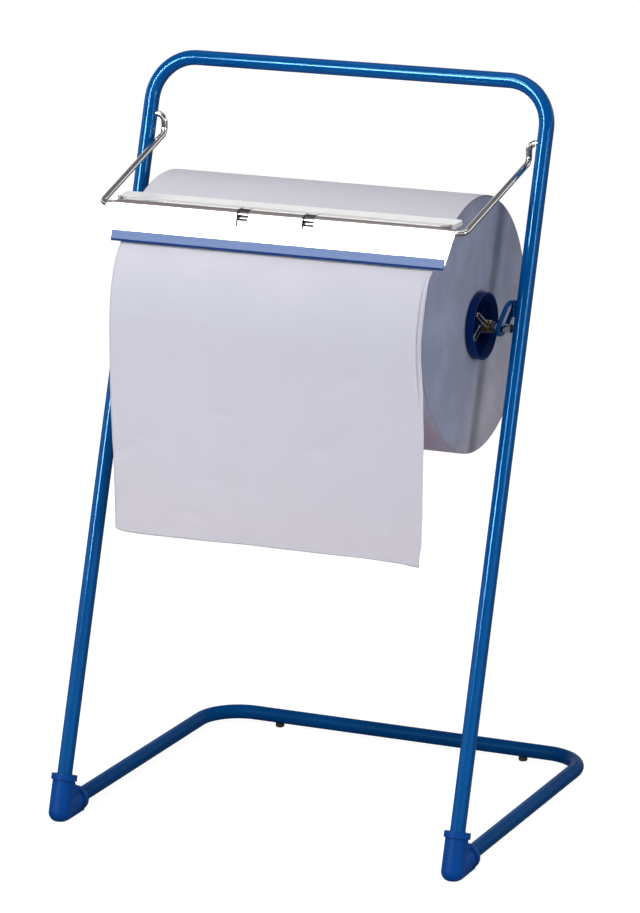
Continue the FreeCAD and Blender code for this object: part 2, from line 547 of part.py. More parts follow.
# A moulded foot elbow: a leaning sleeve with a rounded toe for the leg, a level sleeve for
# the base tube, a collar on each, a web in the corner and a flat runner on the floor.
def foot_elbow(label, side):
    body = new_body(label)
    placed(body, "half_spacing" if side > 0 else "0 - half_spacing", "corner_y", "sole_height")
    level = new_sketch(body, label + "_level", "YZ_Plane")
    outline(level, (
        ("0", "0"),
        ("0", "sleeve_radius"),
        ("base_collar_start", "sleeve_radius"),
        ("base_collar_start", "collar_radius"),
        ("base_socket_reach", "collar_radius"),
        ("base_socket_reach", "0"),
    ))
    turned(body, "Revolution", label + "_base_sleeve", level, "H_Axis")
    leaning = new_sketch(body, label + "_leaning", "YZ_Plane", turn=((0, 0, -1), "leg_lean"))
    outline(leaning, (
        ("0", "0 - toe_reach"),
        ("toe_flat", "0 - toe_reach", "toe_flat", "0 - toe_rise", 1),
        ("sleeve_radius", "0 - toe_rise"),
        ("sleeve_radius", "leg_collar_start"),
        ("collar_radius", "leg_collar_start"),
        ("collar_radius", "leg_socket_reach"),
        ("0", "leg_socket_reach"),
    ))
    turned(body, "Revolution", label + "_leg_sleeve", leaning, "V_Axis")
    web = new_sketch(body, label + "_web", "YZ_Plane")
    outline(web, (
        ("0", "0"),
        ("base_collar_start + 1", "0"),
        ("base_collar_start + 1", "collar_radius"),
        ("gusset_mid_y", "gusset_mid_z"),
        ("gusset_leg_y", "gusset_leg_z"),
    ))
    feature(body, "Pad", label + "_gusset", web, SideType="Symmetric", Length="gusset_thickness")
    runner = new_sketch(body, label + "_runner", "XY_Plane", z="0 - sole_height")
    outline(runner, (
        ("0 - runner_half", "0"),
        ("runner_half", "0"),
        ("runner_half", "base_socket_reach"),
        ("0 - runner_half", "base_socket_reach"),
    ))
    feature(body, "Pad", label + "_sole", runner, Length="runner_height")
    floor = new_sketch(body, label + "_floor", "XY_Plane", z="0 - sole_height")
    outline(floor, (
        ("0 - collar_radius - 5", "0 - collar_radius - 5"),
        ("collar_radius + 5", "0 - collar_radius - 5"),
        ("collar_radius + 5", "base_socket_reach + 5"),
        ("0 - collar_radius - 5", "base_socket_reach + 5"),
    ))
    feature(body, "Pocket", label + "_floor_cut", floor, Length="sleeve_radius")
    bore = new_sketch(body, label + "_base_bore", "YZ_Plane")
    outline(bore, (
        ("tube_setback", "0"),
        ("tube_setback", "tube_radius"),
        ("base_socket_reach + 1", "tube_radius"),
        ("base_socket_reach + 1", "0"),
    ))
    turned(body, "Groove", label + "_base_socket", bore, "H_Axis")
    bore = new_sketch(body, label + "_leg_bore", "YZ_Plane", turn=((0, 0, -1), "leg_lean"))
    outline(bore, (
        ("0", "tube_setback"),
        ("tube_radius", "tube_setback"),
        ("tube_radius", "leg_socket_reach + 1"),
        ("0", "leg_socket_reach + 1"),
    ))
    turned(body, "Groove", label + "_leg_socket", bore, "V_Axis")
    return body


# A rubber pad pushed up into the rear bar, held by a barb behind the tube wall.
def rear_pad(label, side):
    body = new_body(label)
    placed(body, "pad_x" if side > 0 else "0 - pad_x", "rear_y", "0")
    profile = new_sketch(body, label + "_profile", "XZ_Plane")
    outline(profile, (
        ("0", "0"),
        ("pad_edge", "0"),
        ("pad_radius", "1"),
        ("pad_radius", "pad_head"),
        ("stem_radius", "pad_head"),
        ("stem_radius", "pad_shoulder"),
        ("pad_barb_radius", "pad_shoulder"),
        ("stem_radius", "pad_top"),
        ("0", "pad_top"),
    ))
    turned(body, "Revolution", label + "_turned", profile, "V_Axis")
    return body


# An eye for the axle: a rod bent to a closed loop that leans in from the leg, its tail laid
# along the leg under a weld run. The axle rests in the loop's lower bow.
def axle_eye(label, side):
    body = new_body(label)
    placed(body, "0", "axle_y", "axle_z", (LEAN,))
    mark = "" if side > 0 else "0 - "
    for name, spot in (("bow", "eye_bow"), ("crown", "eye_crown")):
        rod = new_sketch(body, label + "_" + name + "_rod", "XY_Plane", x=mark + spot + "_x",
                         z=spot + "_z", turn=((0, side, 0), "eye_tilt"))
        disc(rod, "eye_rod_radius", y="eye_rear_y")
        line = rod.addGeometry(Part.LineSegment(Vector(-9, amount("eye_bow_shift"), 0),
                                                Vector(9, amount("eye_bow_shift"), 0)), True)
        hold(rod, line, 1, "0 - 9", "X")
        hold(rod, line, 1, "eye_bow_shift", "Y")
        hold(rod, line, 2, "9", "X")
        hold(rod, line, 2, "eye_bow_shift", "Y")
        feature(body, "Revolution", label + "_" + name, rod, ReferenceAxis=(rod, ["Axis0"]),
                Angle=180.0, Reversed=name == "bow")
    arms = new_sketch(body, label + "_arm_rods", "XY_Plane", x=mark + "eye_bow_x", z="eye_bow_z",
                      turn=((0, side, 0), "eye_tilt"))
    disc(arms, "eye_rod_radius", y="eye_rear_y")
    disc(arms, "eye_rod_radius", y="eye_front_y")
    feature(body, "Pad", label + "_arms", arms, Length="eye_height - eye_width")
    tail = new_sketch(body, label + "_tail", "YZ_Plane", z=mark + "eye_tail_x")
    outline(tail, (
        ("0", "eye_tail_end", "0", "eye_tail_turn", 1),
        ("weld_radius", "eye_tail_turn"),
        ("weld_radius", "eye_top_z", "0", "eye_top_z", 1),
        ("0", "eye_top_z + weld_radius"),
    ))
    turned(body, "Revolution", label + "_welded_tail", tail, "V_Axis")
    leg = new_sketch(body, label + "_leg", "XY_Plane")
    disc(leg, "tube_radius", x=mark + "half_spacing")
    feature(body, "Pocket", label + "_seat", leg, SideType="Symmetric", Length="half_spacing + half_spacing")
    return body


def rounded_route(corners, radius):
    """A wire of straight runs through the corners, joined by tangent arcs."""
    edges = []
    at = corners[0]
    for index in range(1, len(corners) - 1):
        corner = corners[index]
        back = (corners[index - 1] - corner).normalize()
        on = (corners[index + 1] - corner).normalize()
        half = math.acos(max(-1.0, min(1.0, back.dot(on)))) / 2
        cut = radius / math.tan(half)
        first = corner + back * cut
        last = corner + on * cut
        inward = (back + on).normalize()
        middle = corner + inward * (radius / math.sin(half) - radius)
        edges.append(Part.LineSegment(at, first).toShape())
        edges.append(Part.Arc(first, middle, last).toShape())
        at = last
    edges.append(Part.LineSegment(at, corners[-1]).toShape())
    return Part.Wire(edges)


# The bail: one wire whose ends turn out into the legs, with two short arms, two long arms
# and the front bar that carries the tear plate.
def bail_wire():
    end = size("bail_end_x")
    arm = size("bail_arm_x")
    bar = size("bail_bar_x")
    knee = Vector(arm, 0, -size("bail_arm_drop"))
    front = Vector(bar, -size("bail_bar_forward"), -size("bail_bar_drop"))
    right = [front, knee, Vector(arm, 0, 0), Vector(end, 0, 0)]
    left = [Vector(-spot.x, spot.y, spot.z) for spot in reversed(right)]
    route = rounded_route(left + right, size("wire_bend_radius"))
    section = Part.Circle(Vector(-end, 0, 0), Vector(1, 0, 0), size("wire_radius")).toShape()
    wire = doc.addObject("Part::Feature", "bail_wire")
    wire.Shape = route.makePipe(Part.Face(Part.Wire(section)))
    wire.Label = "bail_wire"
    wire.Placement = Placement(Vector(0, size("pivot_y"), size("pivot_z")), Rotation())
    return wire


# The tear plate: sheet folded over the bail's front bar, relieved at both ends. Two tongues
# are cut out of the fold and curled round the back of the wire, which leaves two windows.
def tear_plate():
    body = new_body("tear_plate")
    placed(body, "0", "bar_y", "bar_z")
    section = new_sketch(body, "plate_section", "YZ_Plane")
    outline(section, (
        ("plate_flange_length", "flange_out_z"),
        ("crease_length", "fold_outer"),
        ("0", "fold_outer", "0", "0", 1),
        ("fold_out_y", "fold_out_z"),
        ("face_out_y", "face_out_z"),
        ("face_in_y", "face_in_z"),
        ("fold_in_y", "fold_in_z", "0", "0", -1),
        ("0", "plate_bend_radius"),
        ("crease_length", "plate_bend_radius"),
        ("plate_flange_length", "flange_in_z"),
    ))
    feature(body, "Pad", "plate_sheet", section, SideType="Symmetric",
            Length="plate_half + plate_half")
    for name, side, way in (("right", "", 1), ("left", "0 - ", -1)):
        ends = new_sketch(body, "flange_end_" + name, "XY_Plane")
        outline(ends, (
            (side + "relief_tip", "relief_front"),
            (side + "plate_beyond", "relief_front"),
            (side + "plate_beyond", "flange_beyond"),
            (side + "flange_corner_x", "flange_beyond"),
            (side + "flange_corner_x", "plate_flange_length",
             side + "flange_corner_x", "flange_corner_y", -way),
            (side + "flange_half", "flange_corner_y"),
            (side + "flange_half", "flange_step"),
            (side + "fold_half", "fold_outer"),
            (side + "fold_half", "0"),
        ))
        feature(body, "Pocket", "flange_relief_" + name, ends, Length="flange_out_z + 1",
                Reversed=True)
        taper = new_sketch(body, "face_end_" + name, "XZ_Plane")
        outline(taper, (
            (side + "plate_half", "0"),
            (side + "plate_lower_half", "face_corner_z",
             side + "face_corner_x", "face_corner_z", -way),
            (side + "face_corner_x", "face_out_z"),
            (side + "face_corner_x", "face_beyond"),
            (side + "plate_beyond", "face_beyond"),
            (side + "plate_beyond", "0"),
        ))
        feature(body, "Pocket", "face_taper_" + name, taper, SideType="Symmetric",
                Length="plate_flange_length + plate_face_length")
    for name, middle in (("left", "tongue_left"), ("right", "tongue_right")):
        window = new_sketch(body, "window_sketch_" + name, "XZ_Plane",
                            z="0 - curl_outer - plate_bend_radius")
        outline(window, (
            (middle + " - window_half", "0 - slit_end"),
            (middle + " - tongue_half", "0 - slit_end"),
            (middle + " - tongue_half", "0 - window_drop"),
            (middle + " + window_half", "0 - window_drop"),
            (middle + " + window_half", "fold_outer + 2"),
            (middle + " - window_half", "fold_outer + 2"),
        ))
        feature(body, "Pocket", "window_" + name, window, Reversed=True,
                Length="plate_flange_length + plate_face_length")
        curl = new_sketch(body, "tongue_sketch_" + name, "YZ_Plane", z=middle)
        outline(curl, (
            ("curl_outer + plate_bend_radius", "plate_bend_radius"),
            ("curl_outer + 2", "plate_bend_radius"),
            ("curl_outer", "plate_bend_radius - 2"),
            ("curl_outer", "0", "0", "0", -1),
            ("curl_out_y", "curl_out_z"),
            ("curl_in_y", "curl_in_z", "0", "0", 1),
            ("curl_inner", "0"),
            ("curl_inner", "fold_outer - 1"),
            ("curl_inner + 1", "fold_outer"),
            ("curl_outer + plate_bend_radius", "fold_outer"),
        ))
        feature(body, "Pad", "tongue_" + name, curl, SideType="Symmetric", Length="tongue_width")
    return body


# The plastic strip: a channel pushed over the lower edge of the tear plate.
def tear_edge_strip():
    body = new_body("tear_edge_strip")
    placed(body, "0", "bar_y", "bar_z", (((-1, 0, 0), "plate_lean"),))
    section = new_sketch(body, "strip_section", "YZ_Plane")
    outline(section, (
        ("strip_front", "0 - strip_top"),
        ("strip_front", "0 - strip_bottom"),
        ("strip_rear", "0 - strip_bottom"),
        ("strip_rear", "0 - strip_top"),
        ("0 - plate_bend_radius", "0 - strip_top"),
        ("0 - plate_bend_radius", "0 - plate_face_length"),
        ("0 - fold_outer", "0 - plate_face_length"),
        ("0 - fold_outer", "0 - strip_top"),
    ))
    feature(body, "Pad", "strip_channel", section, SideType="Symmetric",
            Length="strip_half + strip_half")
    return body


# The axle: a plain tube with a black cap pushed into each end.
def axle_rod():
    body = new_body("axle_rod")
    placed(body, "0", "axle_y", "axle_z")
    ring = new_sketch(body, "axle_ring", "YZ_Plane")
    disc(ring, "axle_radius")
    disc(ring, "axle_bore_radius")
    feature(body, "Pad", "axle_tube", ring, SideType="Symmetric", Length="axle_half + axle_half")
    return body


def axle_cap(label, side):
    body = new_body(label)
    placed(body, "axle_half" if side > 0 else "0 - axle_half", "axle_y", "axle_z",
           () if side > 0 else (((0, 0, 1), "180"),))
    profile = new_sketch(body, label + "_profile", "XZ_Plane")
    outline(profile, (
        ("0 - cap_stem_length", "0"),
        ("0 - cap_stem_length", "cap_tip_radius"),
        ("1 - cap_stem_length", "axle_bore_radius"),
        ("0", "axle_bore_radius"),
        ("0", "axle_radius"),
        ("cap_head_length - 0.8", "axle_radius"),
        ("cap_head_length", "axle_radius - 0.8"),
        ("cap_head_length", "0"),
    ))
    turned(body, "Revolution", label + "_turned", profile, "H_Axis")
    return body


# A centring cone: a tapered plug that fills the mouth of the core, a flange on the end of the
# roll, and an open dish with a hub on the axle and ribs from hub to wall.
def cone(label, side):
    body = new_body(label)
    placed(body, "roll_half" if side > 0 else "0 - roll_half", "axle_y", "axle_z",
           () if side > 0 else (((0, 0, 1), "180"),))
    profile = new_sketch(body, label + "_profile", "XZ_Plane")
    outline(profile, (
        ("0 - cone_length", "running_radius"),
        ("0 - cone_length", "plug_tip_radius"),
        ("0", "plug_radius"),
        ("cone_face_gap", "plug_radius"),
        ("cone_face_gap", "flange_radius"),
        ("flange_face", "flange_radius"),
        ("flange_face", "flange_inner_radius"),
        ("cone_face_gap + cone_wall", "dish_mouth_radius"),
        ("0 - dish_floor", "dish_floor_radius"),
        ("0 - dish_floor", "hub_radius"),
        ("hub_end", "hub_radius"),
        ("hub_end", "running_radius"),
    ))
    turned(body, "Revolution", label + "_shell", profile, "H_Axis")
    rib = new_sketch(body, label + "_rib_sketch", "XZ_Plane")
    outline(rib, (
        ("0 - dish_floor - 1", "hub_radius - 1"),
        ("rib_end", "hub_radius - 1"),
        ("rib_end", "dish_mouth_radius + 0.6"),
        ("0 - dish_floor - 1", "dish_floor_radius + 0.9"),
    ))
    made = feature(body, "Pad", label + "_rib", rib, SideType="Symmetric", Length="rib_thickness")
    ribs = body.newObject("PartDesign::PolarPattern", label + "_ribs")
    ribs.Originals = [made]
    axis = [found for found in body.Origin.OriginFeatures if found.Role == "X_Axis"][0]
    ribs.Axis = (axis, [""])
    ribs.Angle = 360.0
    ribs.setExpression("Occurrences", "Sizes.rib_count")
    body.Tip = ribs
    doc.recompute()
    return body


# A spring clip: wire coiled on the axle, each end bent out to a closed finger loop.
def clip_solid():
    radius = size("clip_radius")
    wire = size("clip_wire_diameter") / 2
    pitch = size("clip_pitch")
    turns = size("clip_turns")
    spread = math.radians(size("clip_spread"))
    length = size("clip_handle_length")
    width = size("clip_handle_width")
    coil_turns = turns - spread / (2 * math.pi)
    coil = Part.makeHelix(pitch, pitch * coil_turns, radius)
    edge = coil.Edges[0]
    pieces = []
    lean = math.radians(size("clip_lean"))
    for at, way, leans in ((edge.FirstParameter, -1, 0.0), (edge.LastParameter, 1, lean)):
        start = edge.valueAt(at)
        ahead = edge.tangentAt(at).normalize() * way
        out = Vector(start.x, start.y, 0).normalize() * math.cos(leans)
        out = out - Vector(0, 0, math.sin(leans))
        bend = 1.6 * wire * 2
        leave = start + out * bend + ahead * bend
        middle = start + out * (bend - bend * math.cos(math.pi / 4)) + ahead * bend * math.sin(math.pi / 4)
        far = leave + out * length
        round_middle = far + out * (width / 2) + ahead * (width / 2)
        far_side = far + ahead * width
        back = leave + ahead * width + out * (0.6 * wire)
        edges = [Part.Arc(start, middle, leave).toShape(),
                 Part.LineSegment(leave, far).toShape(),
                 Part.Arc(far, round_middle, far_side).toShape(),
                 Part.LineSegment(far_side, back).toShape()]
        pieces.append((edges, start, ahead))
    first_edges = pieces[0][0]
    last_edges = pieces[1][0]
    route = Part.Wire(Part.__sortEdges__(first_edges + [edge] + last_edges))
    begin = route.OrderedVertexes[0].Point
    lead = (route.OrderedVertexes[1].Point - begin).normalize()
    across = lead.cross(Vector(0, 0, 1)).normalize()
    upright = across.cross(lead).normalize()
    corners = []
    for step in range(9):
        turn = math.radians(45 * step + 22.5)
        corners.append(begin + across * (wire * math.cos(turn)) + upright * (wire * math.sin(turn)))
    section = Part.makePolygon(corners)
    return route.makePipeShell([section], True, False)


def clip_turn(side):
    """The turn about the axle that points the middle of the handles forward and up."""
    middle = math.radians(-size("clip_spread") / 2)
    lies = math.degrees(math.atan2(-side * math.cos(middle), math.sin(middle)))
    return math.degrees(math.pi) - size("clip_rise") - lies


def spring_clip(label, side):
    made = doc.addObject("Part::Feature", label)
    made.Shape = clip_solid()
    made.Label = label
    spot = Vector(side * (size("clip_start") + size("clip_wire_diameter") / 2),
                  size("axle_y"), size("axle_z"))
    turn = Rotation(Vector(1, 0, 0), clip_turn(side)) * Rotation(Vector(0, 1, 0), 90.0 * side)
    made.Placement = Placement(spot, turn)
    return made


def washer(label, side):
    body = new_body(label)
    placed(body, "washer_start" if side > 0 else "0 - washer_start", "axle_y", "axle_z",
           () if side > 0 else (((0, 0, 1), "180"),))
    ring = new_sketch(body, label + "_ring", "YZ_Plane")
    disc(ring, "washer_radius")
    disc(ring, "running_radius")
    feature(body, "Pad", label + "_disc", ring, Length="washer_thickness")
    return body


# The cardboard core and the paper wound on it.
def wound(label, inner, outer):
    body = new_body(label)
    placed(body, "0", "axle_y", "axle_z")
    ring = new_sketch(body, label + "_ring", "YZ_Plane")
    disc(ring, outer)
    disc(ring, inner)
    feature(body, "Pad", label + "_tube", ring, SideType="Symmetric", Length="roll_width")
    return body


# The loose end of the paper: it lies on the roll behind the top, lifts off under the tear
# plate, passes behind the strip and hangs down in front of the roll.
def paper_web():
    body = new_body("paper_web")
    placed(body, "0", "axle_y", "axle_z")
    section = new_sketch(body, "web_section", "YZ_Plane")
    outline(section, (
        ("web_in_behind_y", "web_in_behind_z", "0", "0", 1),
        ("web_in_leave_y", "web_in_leave_z", "web_centre_y", "web_centre_z", 1),
        ("web_in_front_y", "web_centre_z"),
        ("web_in_front_y", "0 - web_drop"),
        ("web_in_front_y - web_thickness", "0 - web_drop"),
        ("web_in_front_y - web_thickness", "web_centre_z", "web_centre_y", "web_centre_z", -1),
        ("web_out_leave_y", "web_out_leave_z", "0", "0", -1),
        ("web_out_behind_y", "web_out_behind_z"),
    ))
    feature(body, "Pad", "web_sheet", section, SideType="Symmetric", Length="web_half + web_half")
    return body


pieces = [upper_frame(), base_frame()]
for side, word in ((-1, "left"), (1, "right")):
    pieces.append(foot_elbow(word + "_foot_elbow", side))
    pieces.append(rear_pad(word + "_rear_pad", side))
    pieces.append(axle_eye(word + "_axle_eye", side))
    pieces.append(axle_cap(word + "_axle_cap", side))
    pieces.append(cone(word + "_cone", side))
    pieces.append(spring_clip(word + "_spring_clip", side))
    pieces.append(washer(word + "_washer", side))
pieces.append(bail_wire())
pieces.append(tear_plate())
pieces.append(tear_edge_strip())
pieces.append(axle_rod())
pieces.append(wound("roll_core", "core_bore_radius", "core_radius"))
pieces.append(wound("paper_roll", "core_radius", "roll_radius"))
pieces.append(paper_web())
doc.recompute()

for thing in doc.Objects:
    if "Invalid" in thing.State or "Error" in thing.State:
        raise RuntimeError("%s failed: %s" % (thing.Name, thing.State))
for piece in pieces:
    shape = piece.Shape
    if shape.isNull() or not shape.isValid() or len(shape.Solids) != 1:
        raise RuntimeError("%s: %d solids, valid %s" % (piece.Label, len(shape.Solids), shape.isValid()))

os.makedirs("parts", exist_ok=True)
for piece in pieces:
    piece.Shape.exportStep(os.path.join("parts", piece.Label + ".step"))
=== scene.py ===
"""Looks of a floor stand for a wide roll of wiping paper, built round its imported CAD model."""

import json
import math

import bmesh
import bpy
from bpy.props import FloatProperty, FloatVectorProperty, IntProperty, PointerProperty
from mathutils import Matrix, Vector, noise


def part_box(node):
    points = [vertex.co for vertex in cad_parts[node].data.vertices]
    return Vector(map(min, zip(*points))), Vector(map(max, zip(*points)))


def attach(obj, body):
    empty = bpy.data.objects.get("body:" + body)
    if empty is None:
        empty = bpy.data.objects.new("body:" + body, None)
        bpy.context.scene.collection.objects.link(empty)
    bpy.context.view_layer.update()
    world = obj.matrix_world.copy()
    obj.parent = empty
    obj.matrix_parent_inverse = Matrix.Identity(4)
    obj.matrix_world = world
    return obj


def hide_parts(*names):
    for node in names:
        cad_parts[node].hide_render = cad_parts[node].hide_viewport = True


bl_info = {
    "name": "Paper Roll Floor Stand",
    "version": (1, 0, 0),
    "blender": (4, 5, 0),
    "location": "View3D > Sidebar > Stand",
    "description": "Dresses the CAD model of a paper roll floor stand with paper, paint and metal",
    "category": "Object",
}

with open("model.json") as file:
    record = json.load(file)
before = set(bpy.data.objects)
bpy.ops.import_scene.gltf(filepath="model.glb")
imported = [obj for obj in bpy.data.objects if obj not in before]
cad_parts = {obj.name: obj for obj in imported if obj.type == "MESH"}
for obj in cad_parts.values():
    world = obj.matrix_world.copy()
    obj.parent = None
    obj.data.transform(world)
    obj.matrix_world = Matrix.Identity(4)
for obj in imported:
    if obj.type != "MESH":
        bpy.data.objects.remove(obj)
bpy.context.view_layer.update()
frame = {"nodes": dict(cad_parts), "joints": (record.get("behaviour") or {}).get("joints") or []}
nodes = frame["nodes"]
JOINTS = {joint["name"]: joint for joint in frame["joints"]}

# The axle runs along X through this point of the Y-Z plane.
AXLE_LOW, AXLE_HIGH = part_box("axle_rod")
AXLE = (AXLE_LOW + AXLE_HIGH) / 2
ROLL_LOW, ROLL_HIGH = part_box("paper_roll")
ROLL_RADIUS = (ROLL_HIGH.z - ROLL_LOW.z) / 2
ROLL_HALF = ROLL_HIGH.x

# The bar of the bail that the tear plate turns on, and how far things lean.
BAR = Vector(JOINTS["plate_tilt"]["pos_m"])
LEG_LEAN = math.radians(17.9)
PLATE_LEAN = math.radians(11.0)

# The tear plate's flange, measured from the bar.
FLANGE_TOP = 0.0061
FLANGE_REAR = 0.0334
FLANGE_RISE = math.tan(math.radians(2.5))

# The plate's two windows and the slit beside each: middle of the pair and half their distance
# along X, half widths, and the slits' middle and half height along Z.
WINDOWS_X = -0.0026
SLITS_X = -0.0089
PAIR_HALF = 0.0393
WINDOW_HALF = 0.0075
SLIT_HALF = 0.0013
SLIT_Z = -0.0048
SLIT_HALF_HEIGHT = 0.0071


def colour(name, value, note):
    return FloatVectorProperty(name=name, description=note, subtype="COLOR", size=3,
                               min=0.0, max=1.0, default=value)


def length(name, value, note):
    return FloatProperty(name=name, description=note, subtype="DISTANCE", unit="LENGTH",
                         min=0.0, default=value)


class StageSettings(bpy.types.PropertyGroup):
    backdrop: colour("Backdrop", (1.0, 1.0, 1.0), "Colour that the camera sees behind the stand")
    floor: colour("Floor", (0.48, 0.48, 0.48), "Colour of the floor under the studio light")
    shading: colour("Floor shading", (0.30, 0.30, 0.30), "Share of the shadows on the floor")
    glow: FloatProperty(name="Floor glow", description="Floor's own light for the camera",
                        default=0.90)
    dim: colour("Mirrored floor", (0.14, 0.13, 0.12), "Colour of the floor in glossy pieces")
    walls: FloatProperty(name="Mirrored walls", description="Strength of the walls that only "
                         "glossy pieces mirror", default=1.2)
    ambient: FloatProperty(name="Ambient", description="Strength of the even light", default=0.42)
    front_power: FloatProperty(name="Front light", description="Softbox in front",
                               subtype="POWER", default=68.0)
    gloss_power: FloatProperty(name="Strip lights", description="Lights that only gloss shows",
                               subtype="POWER", default=138.0)
    side_power: FloatProperty(name="Side light", description="Softbox on the right",
                              subtype="POWER", default=17.5)
    focal: FloatProperty(name="Lens", description="Focal length in millimetres", default=173.01)


class FrameSettings(bpy.types.PropertyGroup):
    paint: colour("Paint", (0.0, 0.074, 0.285), "Powder coat of the tubes")
    # Painted shade: the eyes take the tubes' paint made darker, for the shade they sit in.
    rod: colour("Eyes", (0.0, 0.050, 0.200), "Tube paint darkened as painted shade on the axle's eyes")
    base: colour("Base", (0.0, 0.050, 0.190), "Powder coat of the base tube")
    moulding: colour("Elbows", (0.002, 0.058, 0.285), "Moulded foot elbows")
    rubber: colour("Pads", (0.025, 0.025, 0.028), "Rubber pads of the rear bar")
    peel: length("Orange peel", 0.00012, "Height of the paint's ripple")
    bead: length("Weld bead", 0.0026, "Half the width of a weld bead")


class BailSettings(bpy.types.PropertyGroup):
    plating: colour("Plating", (0.80, 0.79, 0.77), "Bright plating of the wire")
    sheath_half: length("Half fold", 0.189, "Half the length of the fold round the wire")
    # Painted shade: the wire inside the plate's fold is painted dark, since little light reaches it
    # there.
    shade_in_fold: colour("Wire in the fold", (0.36, 0.34, 0.33), "Painted shade on the wire inside the fold")
    sheet: colour("Plate", (0.97, 0.97, 0.97), "Bright sheet of the tear plate")
    # Painted reflection: the fold is painted dark where the bright sheet would mirror dark
    # surroundings. The hem's seam line uses this colour too.
    fold: colour("Fold", (0.28, 0.25, 0.245), "Painted dark reflection on the tear plate's fold")
    # Painted shadow: the slits and the fold's inside behind the windows are painted near black.
    slit: colour("Slits", (0.02, 0.02, 0.022), "Painted shadow in the slits beside the tongues and in the fold behind the windows")
    hem_depth: length("Hem", 0.0239, "Depth of the hem along the plate's rear edge")
    hem_drop: length("Hem ends", 0.0042, "Height of the turned-down ends of the hem")
    hem_half: length("Half hem", 0.2018, "Half the length of the hem")
    # Painted reflection: the strip's front is painted paler than its lip, for the front softbox's
    # broad reflection.
    strip: colour("Edge strip", (0.140, 0.224, 0.475), "Front of the edge strip, painted pale for the softbox's broad reflection")
    lip: colour("Edge lip", (0.002, 0.040, 0.185), "Toothed lower lip of the edge strip")
    tooth_pitch: length("Tooth pitch", 0.0025, "Tooth to tooth along the edge strip")
    tooth_depth: length("Tooth depth", 0.0007, "Height of a tooth")


class PaperSettings(bpy.types.PropertyGroup):
    sheet: colour("Paper", (0.685, 0.682, 0.775), "Face of the paper")
    # Painted shadow: the loose sheet's shadow on the roll's front, low down.
    painted_sheet_shadow: colour("Underside", (0.50, 0.42, 0.56), "Painted shadow of the loose sheet, low on the roll's front")
    edges: colour("Wound edges", (0.382, 0.372, 0.448), "End of the roll, with the layers' edges")
    card: colour("Core", (0.30, 0.235, 0.17), "Cardboard core")
    thickness: length("Thickness", 0.0005, "Loose paper")
    droop: length("Waves", 0.0011, "Depth of the loose paper's soft waves")
    telescope: length("Layer steps", 0.00025, "How far layers stand out of the roll's end")
    slack: length("Slack", 0.0055, "How far the outer layers stand back at the front")
    steps: IntProperty(name="Roll facets", description="Steps round the roll", default=192)


class FittingSettings(bpy.types.PropertyGroup):
    cone: colour("Cones", (0.0005, 0.019, 0.118), "Moulded centring cones")
    spring: colour("Clips", (0.56, 0.54, 0.52), "Handles of the spring clips")
    coil: colour("Coils", (0.47, 0.30, 0.15), "Coils of the spring clips")
    zinc: colour("Washers", (0.13, 0.20, 0.21), "Zinc plated washers")
    axle: colour("Axle", (0.60, 0.57, 0.60), "Bright axle tube")
    cap: colour("Caps", (0.004, 0.006, 0.012), "Axle caps")


def add_node(tree, kind, inputs=(), **settings):
    """Adds a node with its settings, and joins or sets its inputs."""
    made = tree.nodes.new(kind)
    for key, value in settings.items():
        setattr(made, key, value)
    for socket, value in dict(inputs).items():
        if isinstance(value, bpy.types.NodeSocket):
            tree.links.new(value, made.inputs[socket])
        else:
            made.inputs[socket].default_value = value
    return made


def add_ramp(tree, value, stops):
    """Turns a value into a colour by stops of position and colour."""
    made = add_node(tree, "ShaderNodeValToRGB", {"Fac": value})
    elements = made.color_ramp.elements
    while len(elements) < len(stops):
        elements.new(0.5)
    for element, (position, tone) in zip(elements, stops):
        element.position = position
        element.color = (*tone, 1.0)
    return made.outputs["Color"]


